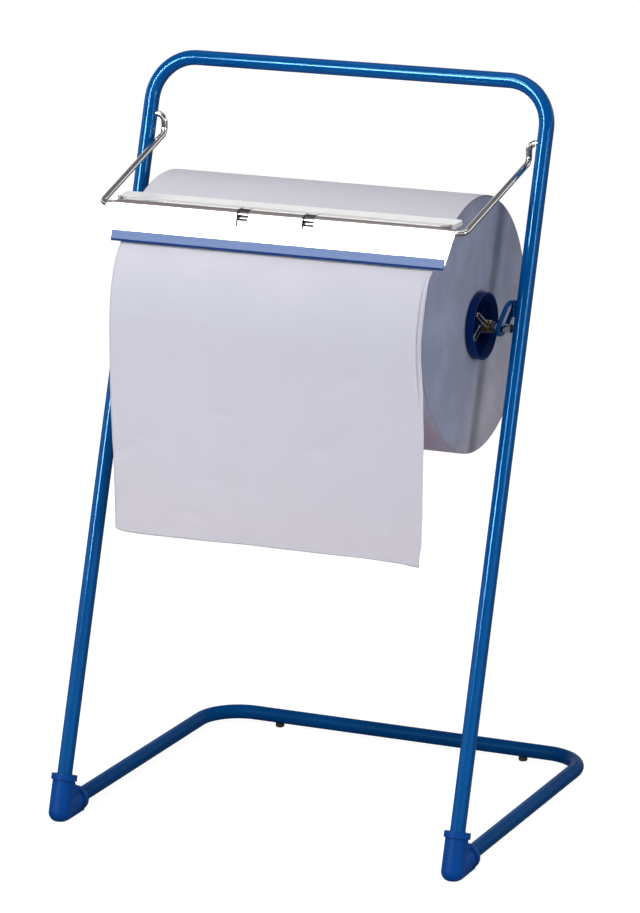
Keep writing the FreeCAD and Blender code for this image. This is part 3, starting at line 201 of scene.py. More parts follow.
class Finish:
    """A Principled material that is put together step by step."""

    def __init__(self, name, base, roughness=0.5, metallic=0.0, **sockets):
        self.material = bpy.data.materials.new(name)
        self.material.use_nodes = True
        self.tree = self.material.node_tree
        self.shader = self.tree.nodes["Principled BSDF"]
        self.base = base
        self.shader.inputs["Base Color"].default_value = (*base, 1.0)
        self.shader.inputs["Roughness"].default_value = roughness
        self.shader.inputs["Metallic"].default_value = metallic
        for socket, value in sockets.items():
            self.shader.inputs[socket.replace("_", " ")].default_value = value
        self.place = self.node("ShaderNodeTexCoord").outputs["Object"]
        self.normal = None

    def node(self, kind, inputs=(), **settings):
        return add_node(self.tree, kind, inputs, **settings)

    def drive(self, socket, value):
        """Lets a value or a colour set a socket of the shader."""
        self.tree.links.new(value, self.shader.inputs[socket])

    def mapped(self, scale=(1, 1, 1), shift=(0, 0, 0), turn=(0, 0, 0)):
        made = self.node("ShaderNodeMapping", {"Vector": self.place, "Location": shift,
                                               "Rotation": turn, "Scale": scale})
        return made.outputs["Vector"]

    def split(self, vector=None):
        """The three coordinates of a place."""
        made = self.node("ShaderNodeSeparateXYZ", {"Vector": vector or self.place})
        return made.outputs["X"], made.outputs["Y"], made.outputs["Z"]

    def grain(self, scale, detail=2.0, rough=0.5, vector=None):
        made = self.node("ShaderNodeTexNoise", {"Vector": vector or self.place, "Scale": scale,
                                                "Detail": detail, "Roughness": rough})
        return made.outputs["Fac"]

    def calc(self, operation, *values, clamp=False):
        return self.node("ShaderNodeMath", dict(enumerate(values)), operation=operation,
                         use_clamp=clamp).outputs["Value"]

    def beyond(self, value, edge, width):
        """0 up to an edge and 1 from a width beyond it. A negative width turns that round."""
        return self.calc("DIVIDE", self.calc("SUBTRACT", value, edge), width, clamp=True)

    def ramp(self, value, stops):
        return add_ramp(self.tree, value, stops)

    def spread(self, value, low, high):
        """Lets a texture between 0 and 1 vary the roughness between two values."""
        made = self.node("ShaderNodeMapRange", {"Value": value, "To Min": low, "To Max": high})
        self.drive("Roughness", made.outputs["Result"])

    def tint(self, value, darker, lighter):
        """Lets a texture vary the base colour between two shares of it."""
        stops = [tuple(min(1.0, c * share) for c in self.base) for share in (darker, lighter)]
        painted = self.ramp(value, [(0.3, stops[0]), (0.7, stops[1])])
        self.drive("Base Color", painted)
        return painted

    def mix(self, first, second, share, way="MIX"):
        """Gives the base colour a mix of two colours. The second may be a fixed one."""
        made = self.node("ShaderNodeMix", {"Factor": share}, data_type="RGBA", blend_type=way)
        one, other = (i for i in made.inputs if i.type == "RGBA")
        self.tree.links.new(first, one)
        if isinstance(second, bpy.types.NodeSocket):
            self.tree.links.new(second, other)
        else:
            other.default_value = (*second, 1.0)
        mixed = next(o for o in made.outputs if o.type == "RGBA")
        self.drive("Base Color", mixed)
        return mixed

    def relief(self, kind, inputs, **settings):
        """Adds a node that changes the normal, after those that are there already."""
        if self.normal:
            inputs = {**inputs, "Normal": self.normal}
        self.normal = self.node(kind, inputs, **settings).outputs["Normal"]
        self.drive("Normal", self.normal)

    def bump(self, value, height, strength=1.0):
        self.relief("ShaderNodeBump", {"Height": value, "Distance": height, "Strength": strength})

    def round_edges(self, radius):
        self.relief("ShaderNodeBevel", {"Radius": radius}, samples=4)

    def radius_from_axle(self):
        """Distance of a point from the axle's axis."""
        centred = self.mapped(scale=(0, 1, 1), shift=(0, -AXLE.y, -AXLE.z))
        return self.node("ShaderNodeVectorMath", {0: centred},
                         operation="LENGTH").outputs["Value"]


def powder_coat(name, base, peel, low, high, shine=0.32):
    finish = Finish(name, base, low, Specular_IOR_Level=shine,
                    Specular_Tint=(0.26, 0.68, 1.0, 1.0))
    finish.tint(finish.grain(14, 3), 0.94, 1.05)
    finish.bump(finish.grain(420, 2), peel, 0.08)
    finish.spread(finish.grain(60, 3), low, high)
    return finish.material


def moulded_elbow(settings):
    finish = Finish("moulded_elbow", settings.moulding, 0.42, Specular_IOR_Level=0.10,
                    Specular_Tint=(0.5, 0.7, 1.0, 1.0))
    finish.tint(finish.grain(40, 4), 0.90, 1.07)
    finish.round_edges(0.0007)
    finish.bump(finish.grain(1300, 3), 0.00004, 0.5)
    finish.spread(finish.grain(90, 3), 0.36, 0.50)
    return finish.material


def black_rubber(settings):
    finish = Finish("black_rubber", settings.rubber, 0.72, Specular_IOR_Level=0.3)
    finish.bump(finish.grain(900, 4), 0.00008, 0.6)
    finish.tint(finish.grain(120, 3), 0.7, 1.6)
    return finish.material


def bright_wire(settings):
    finish = Finish("bright_wire", settings.plating, 0.13, 1.0)
    plated = finish.tint(finish.grain(30, 4), 0.90, 1.04)
    off_middle = finish.calc("ABSOLUTE", finish.split()[0])
    # Painted shade: the wire is painted dark along the middle, where the fold covers it.
    shade_in_fold = finish.calc("LESS_THAN", off_middle, settings.sheath_half)
    finish.mix(plated, settings.shade_in_fold, shade_in_fold)
    finish.bump(finish.grain(260, 2), 0.00003, 0.06)
    finish.spread(finish.grain(150, 3), 0.09, 0.17)
    return finish.material


def enamelled_hem(settings):
    finish = Finish("enamelled_hem", settings.sheet, 0.24, Specular_IOR_Level=1.0,
                    Sheen_Weight=0.6, Sheen_Roughness=0.5)
    white = finish.tint(finish.grain(40, 4), 0.985, 1.01)
    y = finish.split(finish.mapped(shift=-BAR))[1]
    seam_rear = FLANGE_REAR - settings.hem_depth + 0.0003
    seam = finish.calc("LESS_THAN", y, seam_rear)
    # The seam line is a dark joint, in the colour used for the fold's painted reflection.
    finish.mix(white, settings.fold, finish.calc("MULTIPLY", seam, 0.75))
    finish.drive("Roughness", finish.calc("MULTIPLY_ADD", seam, 0.50, 0.24))
    return finish.material


def in_pair(finish, x, middle, half):
    """1 within the two windows, or the two slits, of a half width along X."""
    off = finish.calc("ABSOLUTE", finish.calc("SUBTRACT", x, middle))
    off = finish.calc("ABSOLUTE", finish.calc("SUBTRACT", off, PAIR_HALF))
    return finish.calc("LESS_THAN", off, half)


def bright_plate(settings):
    finish = Finish("bright_plate", settings.sheet, 0.22, 0.35)
    rolled = finish.grain(40, 4, vector=finish.mapped(scale=(1, 22, 22)))
    bright = finish.tint(rolled, 0.985, 1.01)
    x, y, z = finish.split(finish.mapped(shift=-BAR))
    window = in_pair(finish, x, WINDOWS_X, WINDOW_HALF)

    # Painted reflection: the fold over the wire is painted dark, for the dark surroundings that it
    # mirrors, and in the windows further to the rear and lower.
    rear = finish.calc("MULTIPLY_ADD", window, 0.0040, -0.00144)
    level = finish.calc("MULTIPLY_ADD", window, -0.0028, 0.0044 / 3)
    fold = finish.calc("MULTIPLY", finish.beyond(y, rear, -0.0004),
                       finish.beyond(z, level, 0.002 / 3))
    folded = finish.mix(bright, settings.fold, fold)

    # Painted shadow: the slits and what the windows show of the fold's inside are painted dark.
    slit = in_pair(finish, x, SLITS_X, SLIT_HALF)
    off_slit = finish.calc("ABSOLUTE", finish.calc("SUBTRACT", z, SLIT_Z))
    slit = finish.calc("MULTIPLY", slit, finish.calc("LESS_THAN", off_slit, SLIT_HALF_HEIGHT))
    inside = window
    for side, value, edge in (("GREATER_THAN", y, -0.003), ("GREATER_THAN", z, 0.0),
                              ("LESS_THAN", z, 0.0057)):
        inside = finish.calc("MULTIPLY", inside, finish.calc(side, value, edge))
    finish.mix(folded, settings.slit, finish.calc("MAXIMUM", slit, inside))

    finish.drive("Metallic", finish.calc("MULTIPLY_ADD", fold, -0.10, 0.70))
    finish.bump(rolled, 0.00002, 0.15)
    finish.spread(finish.grain(30, 3), 0.18, 0.26)
    return finish.material


def ribbed_plastic(name, base, rough, shine):
    finish = Finish(name, base, rough, Specular_IOR_Level=shine)
    drawn = finish.grain(60, 3, vector=finish.mapped(scale=(1, 14, 14)))
    finish.tint(drawn, 0.93, 1.06)
    finish.bump(drawn, 0.00006, 0.3)
    return finish.material


def loose_tissue(settings):
    finish = Finish("loose_tissue", settings.sheet, 0.92, Specular_IOR_Level=0.15,
                    Sheen_Weight=0.12, Sheen_Roughness=0.5)
    fibres = finish.grain(700, 5, 0.65, finish.mapped(scale=(1, 1, 0.45)))
    cloud = finish.grain(22, 4)
    tone = finish.tint(finish.calc("ADD", finish.calc("MULTIPLY", fibres, 0.5),
                                   finish.calc("MULTIPLY", cloud, 0.5)), 0.965, 1.02)
    x, y, z = finish.split()
    # The paper's tint changes with height.
    height = finish.calc("MULTIPLY_ADD", cloud, 0.08, z)
    height_tint = finish.ramp(height, [(0.40, (1.0, 0.965, 0.95)), (0.54, (0.965, 0.96, 0.965)),
                                (0.66, (0.935, 0.94, 0.945)), (0.74, (0.97, 0.955, 0.925))])
    # Painted shade: the paper is made darker towards the right.
    across = finish.calc("MULTIPLY_ADD", x, 2.6, 0.5)
    shade = finish.ramp(across, [(0.25, (1.0, 1.0, 1.0)), (1.0, (0.935, 0.935, 0.94))])
    painted_shading = finish.mix(finish.mix(tone, height_tint, 1.0, "MULTIPLY"), shade, 1.0, "MULTIPLY")
    # Painted shadow: the roll's front low down, behind the loose sheet, gets a darker colour for
    # the sheet's shadow.
    behind_sheet = finish.beyond(y, -0.155, 0.005)
    under = finish.calc("MULTIPLY", finish.beyond(z, 3.8 / 7, -0.5 / 7), behind_sheet)
    finish.mix(painted_shading, settings.painted_sheet_shadow, under)
    finish.bump(fibres, 0.00012, 0.45)
    pucker = finish.grain(120, 2, 0.5, finish.mapped(scale=(1, 1, 1.8)))
    finish.bump(pucker, 0.00035, 0.22)
    return finish.material


def paper_face(settings):
    """The finish that the roll and the loose sheet share."""
    return bpy.data.materials.get("loose_tissue") or loose_tissue(settings)


def wound_edges(settings):
    finish = Finish("wound_edges", settings.edges, 0.85, Specular_IOR_Level=0.2,
                    Sheen_Weight=0.1)
    rings = finish.node("ShaderNodeTexNoise", {"W": finish.radius_from_axle(), "Scale": 900.0,
                                               "Detail": 4.0}, noise_dimensions="1D")
    rings = rings.outputs["Fac"]
    blots = finish.grain(26, 4, 0.55, finish.mapped(scale=(1, 1.0, 0.8), turn=(0.5, 0, 0)))
    stains = finish.calc("MULTIPLY_ADD", blots, 2.2, -0.65, clamp=True)
    mixed = finish.calc("ADD", finish.calc("MULTIPLY", rings, 0.12),
                        finish.calc("MULTIPLY", stains, 0.88))
    paper = finish.tint(mixed, 0.915, 1.065)
    y, z = finish.split(finish.mapped(shift=(0, -AXLE.y, -AXLE.z)))[1:]
    # Painted light: the roll's end is made lighter and warmer towards the bottom and the rear.
    low = finish.calc("MULTIPLY_ADD", z, -5.0, 0.26)
    low = finish.calc("MULTIPLY_ADD", y, 5.0, low)
    painted_shading = finish.ramp(low, [(0.10, (0.73, 0.83, 0.965)), (0.45, (0.78, 0.875, 0.985)),
                             (0.90, (1.0, 1.0, 1.0))])
    # Painted shade: the roll's end is made darker towards the rear and the top.
    high = finish.calc("MULTIPLY", z, 2.0)
    high = finish.calc("MULTIPLY_ADD", y, 8.0, high)
    painted_shade_rear_top = finish.ramp(high, [(0.15, (1.0, 1.0, 1.0)), (0.75, (0.76, 0.77, 0.80))])
    finish.mix(finish.mix(paper, painted_shading, 1.0, "MULTIPLY"), painted_shade_rear_top, 1.0, "MULTIPLY")
    finish.bump(rings, 0.0003, 0.25)
    finish.bump(blots, 0.0030, 0.4)
    return finish.material


def card_tube(settings):
    finish = Finish("card_tube", settings.card, 0.9, Specular_IOR_Level=0.15)
    finish.tint(finish.grain(400, 5, 0.7), 0.75, 1.2)
    finish.bump(finish.grain(500, 4), 0.0001, 0.5)
    return finish.material


def cone_plastic(settings):
    finish = Finish("cone_plastic", settings.cone, 0.34, Specular_IOR_Level=0.13,
                    Specular_Tint=(0.5, 0.7, 1.0, 1.0))
    finish.tint(finish.grain(60, 3), 0.9, 1.1)
    finish.round_edges(0.0005)
    finish.bump(finish.grain(1100, 3), 0.00003, 0.4)
    return finish.material


def clip_wire(settings):
    finish = Finish("clip_wire", settings.spring, 0.2, 1.0)
    gilt = finish.ramp(finish.calc("MULTIPLY", finish.radius_from_axle(), 40.0),
                       [(0.30, tuple(settings.coil)), (0.36, tuple(settings.spring))])
    finish.drive("Base Color", gilt)
    finish.spread(finish.grain(300, 3), 0.14, 0.30)
    return finish.material


def plain_metal(name, base, low, high):
    finish = Finish(name, base, low, 1.0)
    finish.tint(finish.grain(90, 4), 0.85, 1.05)
    finish.bump(finish.grain(800, 3), 0.00003, 0.3)
    finish.spread(finish.grain(200, 4), low, high)
    return finish.material


def axle_cap(settings):
    finish = Finish("axle_cap", settings.cap, 0.4, Specular_IOR_Level=0.5)
    finish.bump(finish.grain(900, 3), 0.00004, 0.4)
    finish.tint(finish.grain(200, 3), 0.7, 1.5)
    finish.round_edges(0.0003)
    return finish.material


def dress(material, *names):
    """Gives CAD nodes a finish."""
    for name in names:
        nodes[name].data.materials.clear()
        nodes[name].data.materials.append(material)


def new_piece(name, bm, materials, body, smooth=True, replaces=()):
    """Makes a piece of a bmesh, at the origin, riding on a body."""
    mesh = bpy.data.meshes.new(name)
    bm.to_mesh(mesh)
    bm.free()
    for material in materials:
        mesh.materials.append(material)
    mesh.polygons.foreach_set("use_smooth", [smooth] * len(mesh.polygons))
    piece = bpy.data.objects.new(name, mesh)
    bpy.context.scene.collection.objects.link(piece)
    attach(piece, body)
    if replaces:
        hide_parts(*replaces)
    return piece


def smooth_line(points, step):
    """Points a step apart on a smooth curve through the given points."""
    found = []
    for index in range(len(points) - 1):
        before = points[max(index - 1, 0)]
        start, end = points[index], points[index + 1]
        after = points[min(index + 2, len(points) - 1)]
        count = max(1, round((end - start).length / step))
        for part in range(count):
            t = part / count
            found.append(0.5 * ((2 * start) + (end - before) * t
                                + (2 * before - 5 * start + 4 * end - after) * t * t
                                + (3 * start - before - 3 * end + after) * t ** 3))
    found.append(points[-1])
    return found


def between(value, low, high):
    """0 below low, 1 above high and smooth between them."""
    t = min(1.0, max(0.0, (value - low) / (high - low)))
    return t * t * (3 - 2 * t)


class STAND_OT_stage(bpy.types.Operator):
    """Sets up the floor, the studio light and the camera"""

    bl_idname = "stand.stage"
    bl_label = "Stage"

    # What bright metal mirrors, as pairs of height (the upright part of a direction) and tone.
    FRONT_WALL = ((-0.2, 0.14), (0.0, 0.20), (0.06, 1.0), (0.22, 1.0), (0.30, 0.12), (0.84, 0.10),
                  (0.92, 0.8))
    REAR_WALL = ((-0.2, 0.14), (0.03, 0.16), (0.09, 1.0), (0.30, 1.0), (0.38, 0.20), (0.84, 0.14),
                 (0.92, 0.8))

    # What the lamps point at, the camera's place, and the directions to its right and ahead.
    LAMP_AIM = (0.0, -0.05, 0.50)
    EYE = (1.9687, -4.3818, 1.6313)
    RIGHT = (0.9114, 0.4116, 0.0)
    AHEAD = (-0.3988, 0.8829, -0.2478)

    def execute(self, context):
        settings = context.scene.stand_stage
        self.world(context.scene, settings)
        self.floor(settings)
        self.softbox("front_softbox", (-0.92, -2.59, 2.74), (0.6, 1.8), settings.front_power)
        side = self.softbox("side_softbox", (2.25, -1.15, 0.85), (0.20, 1.5), settings.side_power)
        side.visible_glossy = False
        for name, place, size, share in (
                ("front_striplight", (-1.32, -3.16, 1.80), (0.75, 0.95), 1.0),
                ("side_striplight", (2.26, -0.87, 1.05), (0.35, 0.60), 0.09)):
            strip = self.softbox(name, place, size, share * settings.gloss_power)
            strip.visible_diffuse = False
        self.camera(context.scene, settings)
        context.scene.view_settings.view_transform = "Standard"
        return {"FINISHED"}

    def world(self, scene, settings):
        """Even light, a plain backdrop for the camera, and two walls that only gloss mirrors."""
        world = bpy.data.worlds.new("studio")
        scene.world = world
        world.use_nodes = True
        tree = world.node_tree
        tree.nodes.clear()
        path = add_node(tree, "ShaderNodeLightPath").outputs
        place = add_node(tree, "ShaderNodeTexCoord").outputs["Generated"]
        parts = add_node(tree, "ShaderNodeSeparateXYZ", {"Vector": place}).outputs
        height = add_node(tree, "ShaderNodeMath", {0: parts["Z"], 1: 0.5, 2: 0.5},
                          operation="MULTIPLY_ADD").outputs["Value"]
        behind = add_node(tree, "ShaderNodeMapRange",
                          {"Value": parts["Y"], "From Min": -0.12, "From Max": 0.12},
                          interpolation_type="SMOOTHSTEP").outputs["Result"]
        walls = add_node(tree, "ShaderNodeMix", {"Factor": behind}, data_type="RGBA")
        colours = [i for i in walls.inputs if i.type == "RGBA"]
        for socket, tones in zip(colours, (self.FRONT_WALL, self.REAR_WALL)):
            stops = [(level * 0.5 + 0.5, self.wall_colour(tone)) for level, tone in tones]
            tree.links.new(add_ramp(tree, height, stops), socket)
        shown = next(o for o in walls.outputs if o.type == "RGBA")
        ambient = add_node(tree, "ShaderNodeBackground",
                           {"Color": (1.0, 1.0, 1.0, 1.0), "Strength": settings.ambient})
        mirrored = add_node(tree, "ShaderNodeBackground", {"Color": shown,
                                                         "Strength": settings.walls})
        backdrop = add_node(tree, "ShaderNodeBackground", {"Color": (*settings.backdrop, 1.0)})
        glossy = add_node(tree, "ShaderNodeMixShader",
                          {0: path["Is Glossy Ray"], 1: ambient.outputs[0],
                           2: mirrored.outputs[0]})
        seen = add_node(tree, "ShaderNodeMath",
                        {0: path["Is Camera Ray"], 1: path["Is Transmission Ray"]},
                        operation="MAXIMUM")
        mix = add_node(tree, "ShaderNodeMixShader",
                       {0: seen.outputs[0], 1: glossy.outputs[0], 2: backdrop.outputs[0]})
        add_node(tree, "ShaderNodeOutputWorld", {"Surface": mix.outputs[0]})

    def wall_colour(self, tone):
        """Dark parts of the walls are a little warm."""
        return (tone, tone * 0.97, tone * 0.93) if tone < 0.5 else (tone, tone, tone)

    def floor(self, settings):
        """A floor that lights the stand from below and that the camera sees as the backdrop."""
        material = bpy.data.materials.new("studio_floor")
        material.use_nodes = True
        tree = material.node_tree
        tree.nodes.clear()
        path = add_node(tree, "ShaderNodeLightPath").outputs
        lit = add_node(tree, "ShaderNodeBsdfDiffuse", {"Color": (*settings.floor, 1.0)})
        faint = add_node(tree, "ShaderNodeBsdfDiffuse", {"Color": (*settings.shading, 1.0)})
        glow = add_node(tree, "ShaderNodeEmission",
                        {"Color": (*settings.backdrop, 1.0), "Strength": settings.glow})
        both = add_node(tree, "ShaderNodeAddShader", {0: faint.outputs[0], 1: glow.outputs[0]})
        dim = add_node(tree, "ShaderNodeEmission", {"Color": (*settings.dim, 1.0)})
        mirrored = add_node(tree, "ShaderNodeMixShader",
                            {0: path["Is Glossy Ray"], 1: lit.outputs[0], 2: dim.outputs[0]})
        mix = add_node(tree, "ShaderNodeMixShader",
                       {0: path["Is Camera Ray"], 1: mirrored.outputs[0], 2: both.outputs[0]})
        add_node(tree, "ShaderNodeOutputMaterial", {"Surface": mix.outputs[0]})
        bm = bmesh.new()
        bmesh.ops.create_grid(bm, x_segments=1, y_segments=1, size=12.0)
        mesh = bpy.data.meshes.new("studio_floor")
        bm.to_mesh(mesh)
        bm.free()
        mesh.materials.append(material)
        floor = bpy.data.objects.new("studio_floor", mesh)
        bpy.context.scene.collection.objects.link(floor)

    def softbox(self, name, place, size, power):
        lamp = bpy.data.lights.new(name, "AREA")
        lamp.shape = "RECTANGLE"
        lamp.size, lamp.size_y = size
        lamp.energy = power
        box = bpy.data.objects.new(name, lamp)
        box.location = place
        aim = Vector(self.LAMP_AIM) - box.location
        box.rotation_euler = aim.to_track_quat("-Z", "Y").to_euler()
        bpy.context.scene.collection.objects.link(box)
        return box

    def camera(self, scene, settings):
        lens = bpy.data.cameras.new("camera")
        lens.lens = settings.focal
        lens.sensor_width = 36.0
        lens.clip_end = 50.0
        camera = bpy.data.objects.new("camera", lens)
        right = Vector(self.RIGHT).normalized()
        ahead = Vector(self.AHEAD).normalized()
        up = right.cross(ahead)
        turn = Matrix((right, up, -ahead)).transposed().to_4x4()
        camera.matrix_world = Matrix.Translation(self.EYE) @ turn
        scene.collection.objects.link(camera)
        scene.camera = camera


class STAND_OT_frame(bpy.types.Operator):
    """Paints the tubes, the eyes and the elbows, and adds the weld beads"""

    bl_idname = "stand.frame"
    bl_label = "Frame"

    def execute(self, context):
        settings = context.scene.stand_frame
        dress(powder_coat("painted_tube", settings.paint, settings.peel, 0.10, 0.15), "upper_frame")
        dress(powder_coat("painted_base", settings.base, settings.peel, 0.34, 0.44, 0.04),
              "base_frame")
        # Painted shade: the eyes get a darker copy of the tubes' paint.
        dress(powder_coat("eye_paint_with_painted_shade", settings.rod, settings.peel, 0.12, 0.18),
              "left_axle_eye", "right_axle_eye")
        dress(moulded_elbow(settings), "left_foot_elbow", "right_foot_elbow")
        dress(black_rubber(settings), "left_rear_pad", "right_rear_pad")
        self.weld_beads(settings)
        return {"FINISHED"}

    # Weld beads beside an eye's tail: from the middle plane, the first above the axle, the next
    # one further on, and how many.
    BEAD_X, BEAD_START, BEAD_PITCH, BEAD_COUNT = 0.2313, 0.0145, 0.0030, 6

    def weld_beads(self, settings):
        """Lays a lumpy run down each side of the eyes' tails."""
        lean = Matrix.Rotation(-LEG_LEAN, 3, "X")
        bm = bmesh.new()
        for side in (-1, 1):
            for edge in (-1, 1):
                for index in range(self.BEAD_COUNT):
                    wander = noise.noise(Vector((index * 0.9, edge * 3.0, side * 5.0)))
                    spot = lean @ Vector((0.0, edge * (0.0026 + 0.0006 * wander),
                                          self.BEAD_START + index * self.BEAD_PITCH))
                    spot += Vector((side * (self.BEAD_X + 0.0005 * wander), AXLE.y, AXLE.z))
                    lump = settings.bead * (0.92 + 0.20 * wander)
                    shape = Matrix.Translation(spot) @ Matrix.Diagonal((0.8, 1.0, 0.70, 1.0))
                    bmesh.ops.create_icosphere(bm, subdivisions=2, radius=lump, matrix=shape)
        weld = powder_coat("painted_weld", settings.paint, settings.peel, 0.20, 0.26, 1.0)
        new_piece("weld_beads", bm, [weld], "stand")


class STAND_OT_bail(bpy.types.Operator):
    """Dresses the bail and the tear plate, with the plate's hem and its toothed edge strip"""

    bl_idname = "stand.bail"
    bl_label = "Bail and tear plate"

    def execute(self, context):
        settings = context.scene.stand_bail
        dress(bright_wire(settings), "bail_wire")
        dress(bright_plate(settings), "tear_plate")
        self.hem(settings)
        self.edge_strip(settings)
        return {"FINISHED"}

    # The hem's thickness, the width of its turned-down ends, and the radius of their corners and
    # of all sharp edges.
    HEM_THICK, HEM_END, HEM_CORNER, HEM_EDGE = 0.0012, 0.0032, 0.0022, 0.00025

    def hem(self, settings):
        """Lays the turned-over edge of the plate on its flange, with the two ends turned down."""
        half, drop = settings.hem_half, settings.hem_drop
        thick, wall = self.HEM_THICK, self.HEM_END
        front = FLANGE_REAR - settings.hem_depth
        section = ((-half, -drop), (-half, thick), (half, thick), (half, -drop),
                   (half - wall, -drop), (half - wall, 0.0), (wall - half, 0.0),
                   (wall - half, -drop))
        bm = bmesh.new()
        face = bm.faces.new([bm.verts.new((x, front, z)) for x, z in section])
        made = bmesh.ops.extrude_face_region(bm, geom=[face])
        moved = [v for v in made["geom"] if isinstance(v, bmesh.types.BMVert)]
        bmesh.ops.translate(bm, vec=(0.0, FLANGE_REAR - front, 0.0), verts=moved)
        bmesh.ops.recalc_face_normals(bm, faces=bm.faces)
        for vert in bm.verts:
            vert.co.z += FLANGE_TOP + (vert.co.y - front) * FLANGE_RISE
        corners = [e for e in bm.edges if min(v.co.y for v in e.verts) > FLANGE_REAR - 1e-5
                   and min(abs(v.co.x) for v in e.verts) > half - 1e-5
                   and abs(e.verts[0].co.z - e.verts[1].co.z) > 0.001]
        self.round_off(bm, corners, self.HEM_CORNER, 4)
        sharp = [e for e in bm.edges if e.calc_face_angle(0.0) > 1.0]
        self.round_off(bm, sharp, self.HEM_EDGE, 2)
        bmesh.ops.translate(bm, vec=BAR, verts=bm.verts)
        new_piece("plate_hem", bm, [enamelled_hem(settings)], "plate",
                  smooth=False)

    def round_off(self, bm, edges, radius, segments):
        bmesh.ops.bevel(bm, geom=edges, offset=radius, offset_type="OFFSET", segments=segments,
                        profile=0.5, affect="EDGES", material=-1)

    # The strip's section as (across, down) from the bar in the plate's own lean, in millimetres.
    # The two points marked with a third value form the teeth. The lip starts at LIP_DOWN.
    SECTION = ((-6.0, 28.5), (-6.9, 28.5), (-7.1, 28.7), (-7.1, 38.2), (-6.75, 38.6),
               (-6.7, 40.3, 1), (-6.3, 40.3, 1), (-5.6, 39.6), (-4.4, 38.4), (-3.7, 38.0),
               (-3.7, 28.7), (-3.9, 28.5), (-4.8, 28.5), (-4.8, 37.0), (-6.0, 37.0))
    LIP_DOWN = 0.0384

    def edge_strip(self, settings):
        low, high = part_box("tear_edge_strip")
        lean = Matrix.Rotation(-PLATE_LEAN, 3, "X")
        columns = 2 * round((high.x - low.x) / settings.tooth_pitch)
        count = len(self.SECTION)
        bm = bmesh.new()
        bmesh.ops.create_grid(bm, x_segments=columns, y_segments=count, size=0.5)
        for vert in bm.verts:
            column = round((vert.co.x + 0.5) * columns)
            across, down, *tooth = self.SECTION[round((vert.co.y + 0.5) * count) % count]
            down /= 1000
            if tooth:
                down += settings.tooth_depth * (column % 2)
            place = BAR + lean @ Vector((0.0, across / 1000, -down))
            vert.co = (low.x + (high.x - low.x) * column / columns, place.y, place.z)
        bmesh.ops.remove_doubles(bm, verts=bm.verts, dist=1e-6)
        bmesh.ops.holes_fill(bm, edges=[e for e in bm.edges if e.is_boundary], sides=0)
        bmesh.ops.recalc_face_normals(bm, faces=bm.faces)
        for part in bm.faces:
            local = lean.inverted() @ (part.calc_center_median() - BAR)
            is_end = len(part.verts) >= 8
            part.material_index = 1 if local.z < -self.LIP_DOWN and not is_end else 0
        # Painted reflection: the front of the strip is painted pale; the lip keeps the plastic's
        # darker blue.
        new_piece("toothed_strip", bm, [ribbed_plastic("edge_strip", settings.strip, 0.5, 0.22),
                                        ribbed_plastic("edge_teeth", settings.lip, 0.5, 0.04)],
                  "plate", smooth=False, replaces=["tear_edge_strip"])


class STAND_OT_roll(bpy.types.Operator):
    """Winds the paper roll, with the edges of its layers at both ends"""

    bl_idname = "stand.roll"
    bl_label = "Paper roll"

    # Clearance round the core and below the CAD's surface, radius of the rim, and rings per end.
    CORE_GAP, SKIN_GAP, RIM, RINGS = 0.0001, 0.0002, 0.0012, 52

    def execute(self, context):
        settings = context.scene.stand_paper
        core_low, core_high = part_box("roll_core")
        bore = (core_high.z - core_low.z) / 2 + self.CORE_GAP
        rim = self.RIM
        outer = ROLL_RADIUS - self.SKIN_GAP
        face = []
        for index in range(self.RINGS + 1):
            radius = bore + (outer - rim - bore) * index / self.RINGS
            step = noise.noise(Vector((radius * 210.0, 3.1, 0.0)))
            step += 0.6 * noise.noise(Vector((radius * 900.0, 8.4, 0.0)))
            face.append((radius, ROLL_HALF - settings.telescope * (1.0 + step)))
        edge = face[-1][1]
        corner = [(outer - rim + rim * math.sin(a), edge - rim + rim * math.cos(a))
                  for a in (0.4, 0.8, 1.2, math.pi / 2)]
        rows = face + corner
        rows += [(outer, ROLL_HALF * share) for share in (0.9, 0.6, 0.3, 0.0)]
        rows += [(radius, -x) for radius, x in reversed(rows[:-1])]
        bm = bmesh.new()
        line = [bm.verts.new((x, AXLE.y, AXLE.z + radius)) for radius, x in rows]
        edges = [bm.edges.new(pair) for pair in zip(line, line[1:] + line[:1])]
        bmesh.ops.spin(bm, geom=line + edges, cent=(0, AXLE.y, AXLE.z), axis=(1, 0, 0),
                       angle=2 * math.pi, steps=settings.steps, use_merge=True)
        bmesh.ops.remove_doubles(bm, verts=bm.verts, dist=1e-6)
        for vert in bm.verts:
            if vert.co.x > ROLL_HALF - 0.01:
                vert.co.x -= self.pushed_in(vert.co, settings.slack)
        bmesh.ops.recalc_face_normals(bm, faces=bm.faces)
        for part in bm.faces:
            centre = part.calc_center_median() - AXLE
            part.material_index = 0 if math.hypot(centre.y, centre.z) > outer - 0.02 * rim else 1
        new_piece("wound_roll", bm, [paper_face(settings), wound_edges(settings)], "roll",
                  replaces=["paper_roll"])
        dress(card_tube(settings), "roll_core")
        return {"FINISHED"}

    def pushed_in(self, spot, slack):
        """How far the soft outer layers stand back, where the paper leaves the roll."""
        ahead, above = AXLE.y - spot.y, spot.z - AXLE.z
        turn = math.degrees(math.atan2(above, ahead))
        near = between(turn, -55, -15) * (1.0 - between(turn, 42, 80))
        return slack * near * between(math.hypot(ahead, above), 0.085, 0.142)


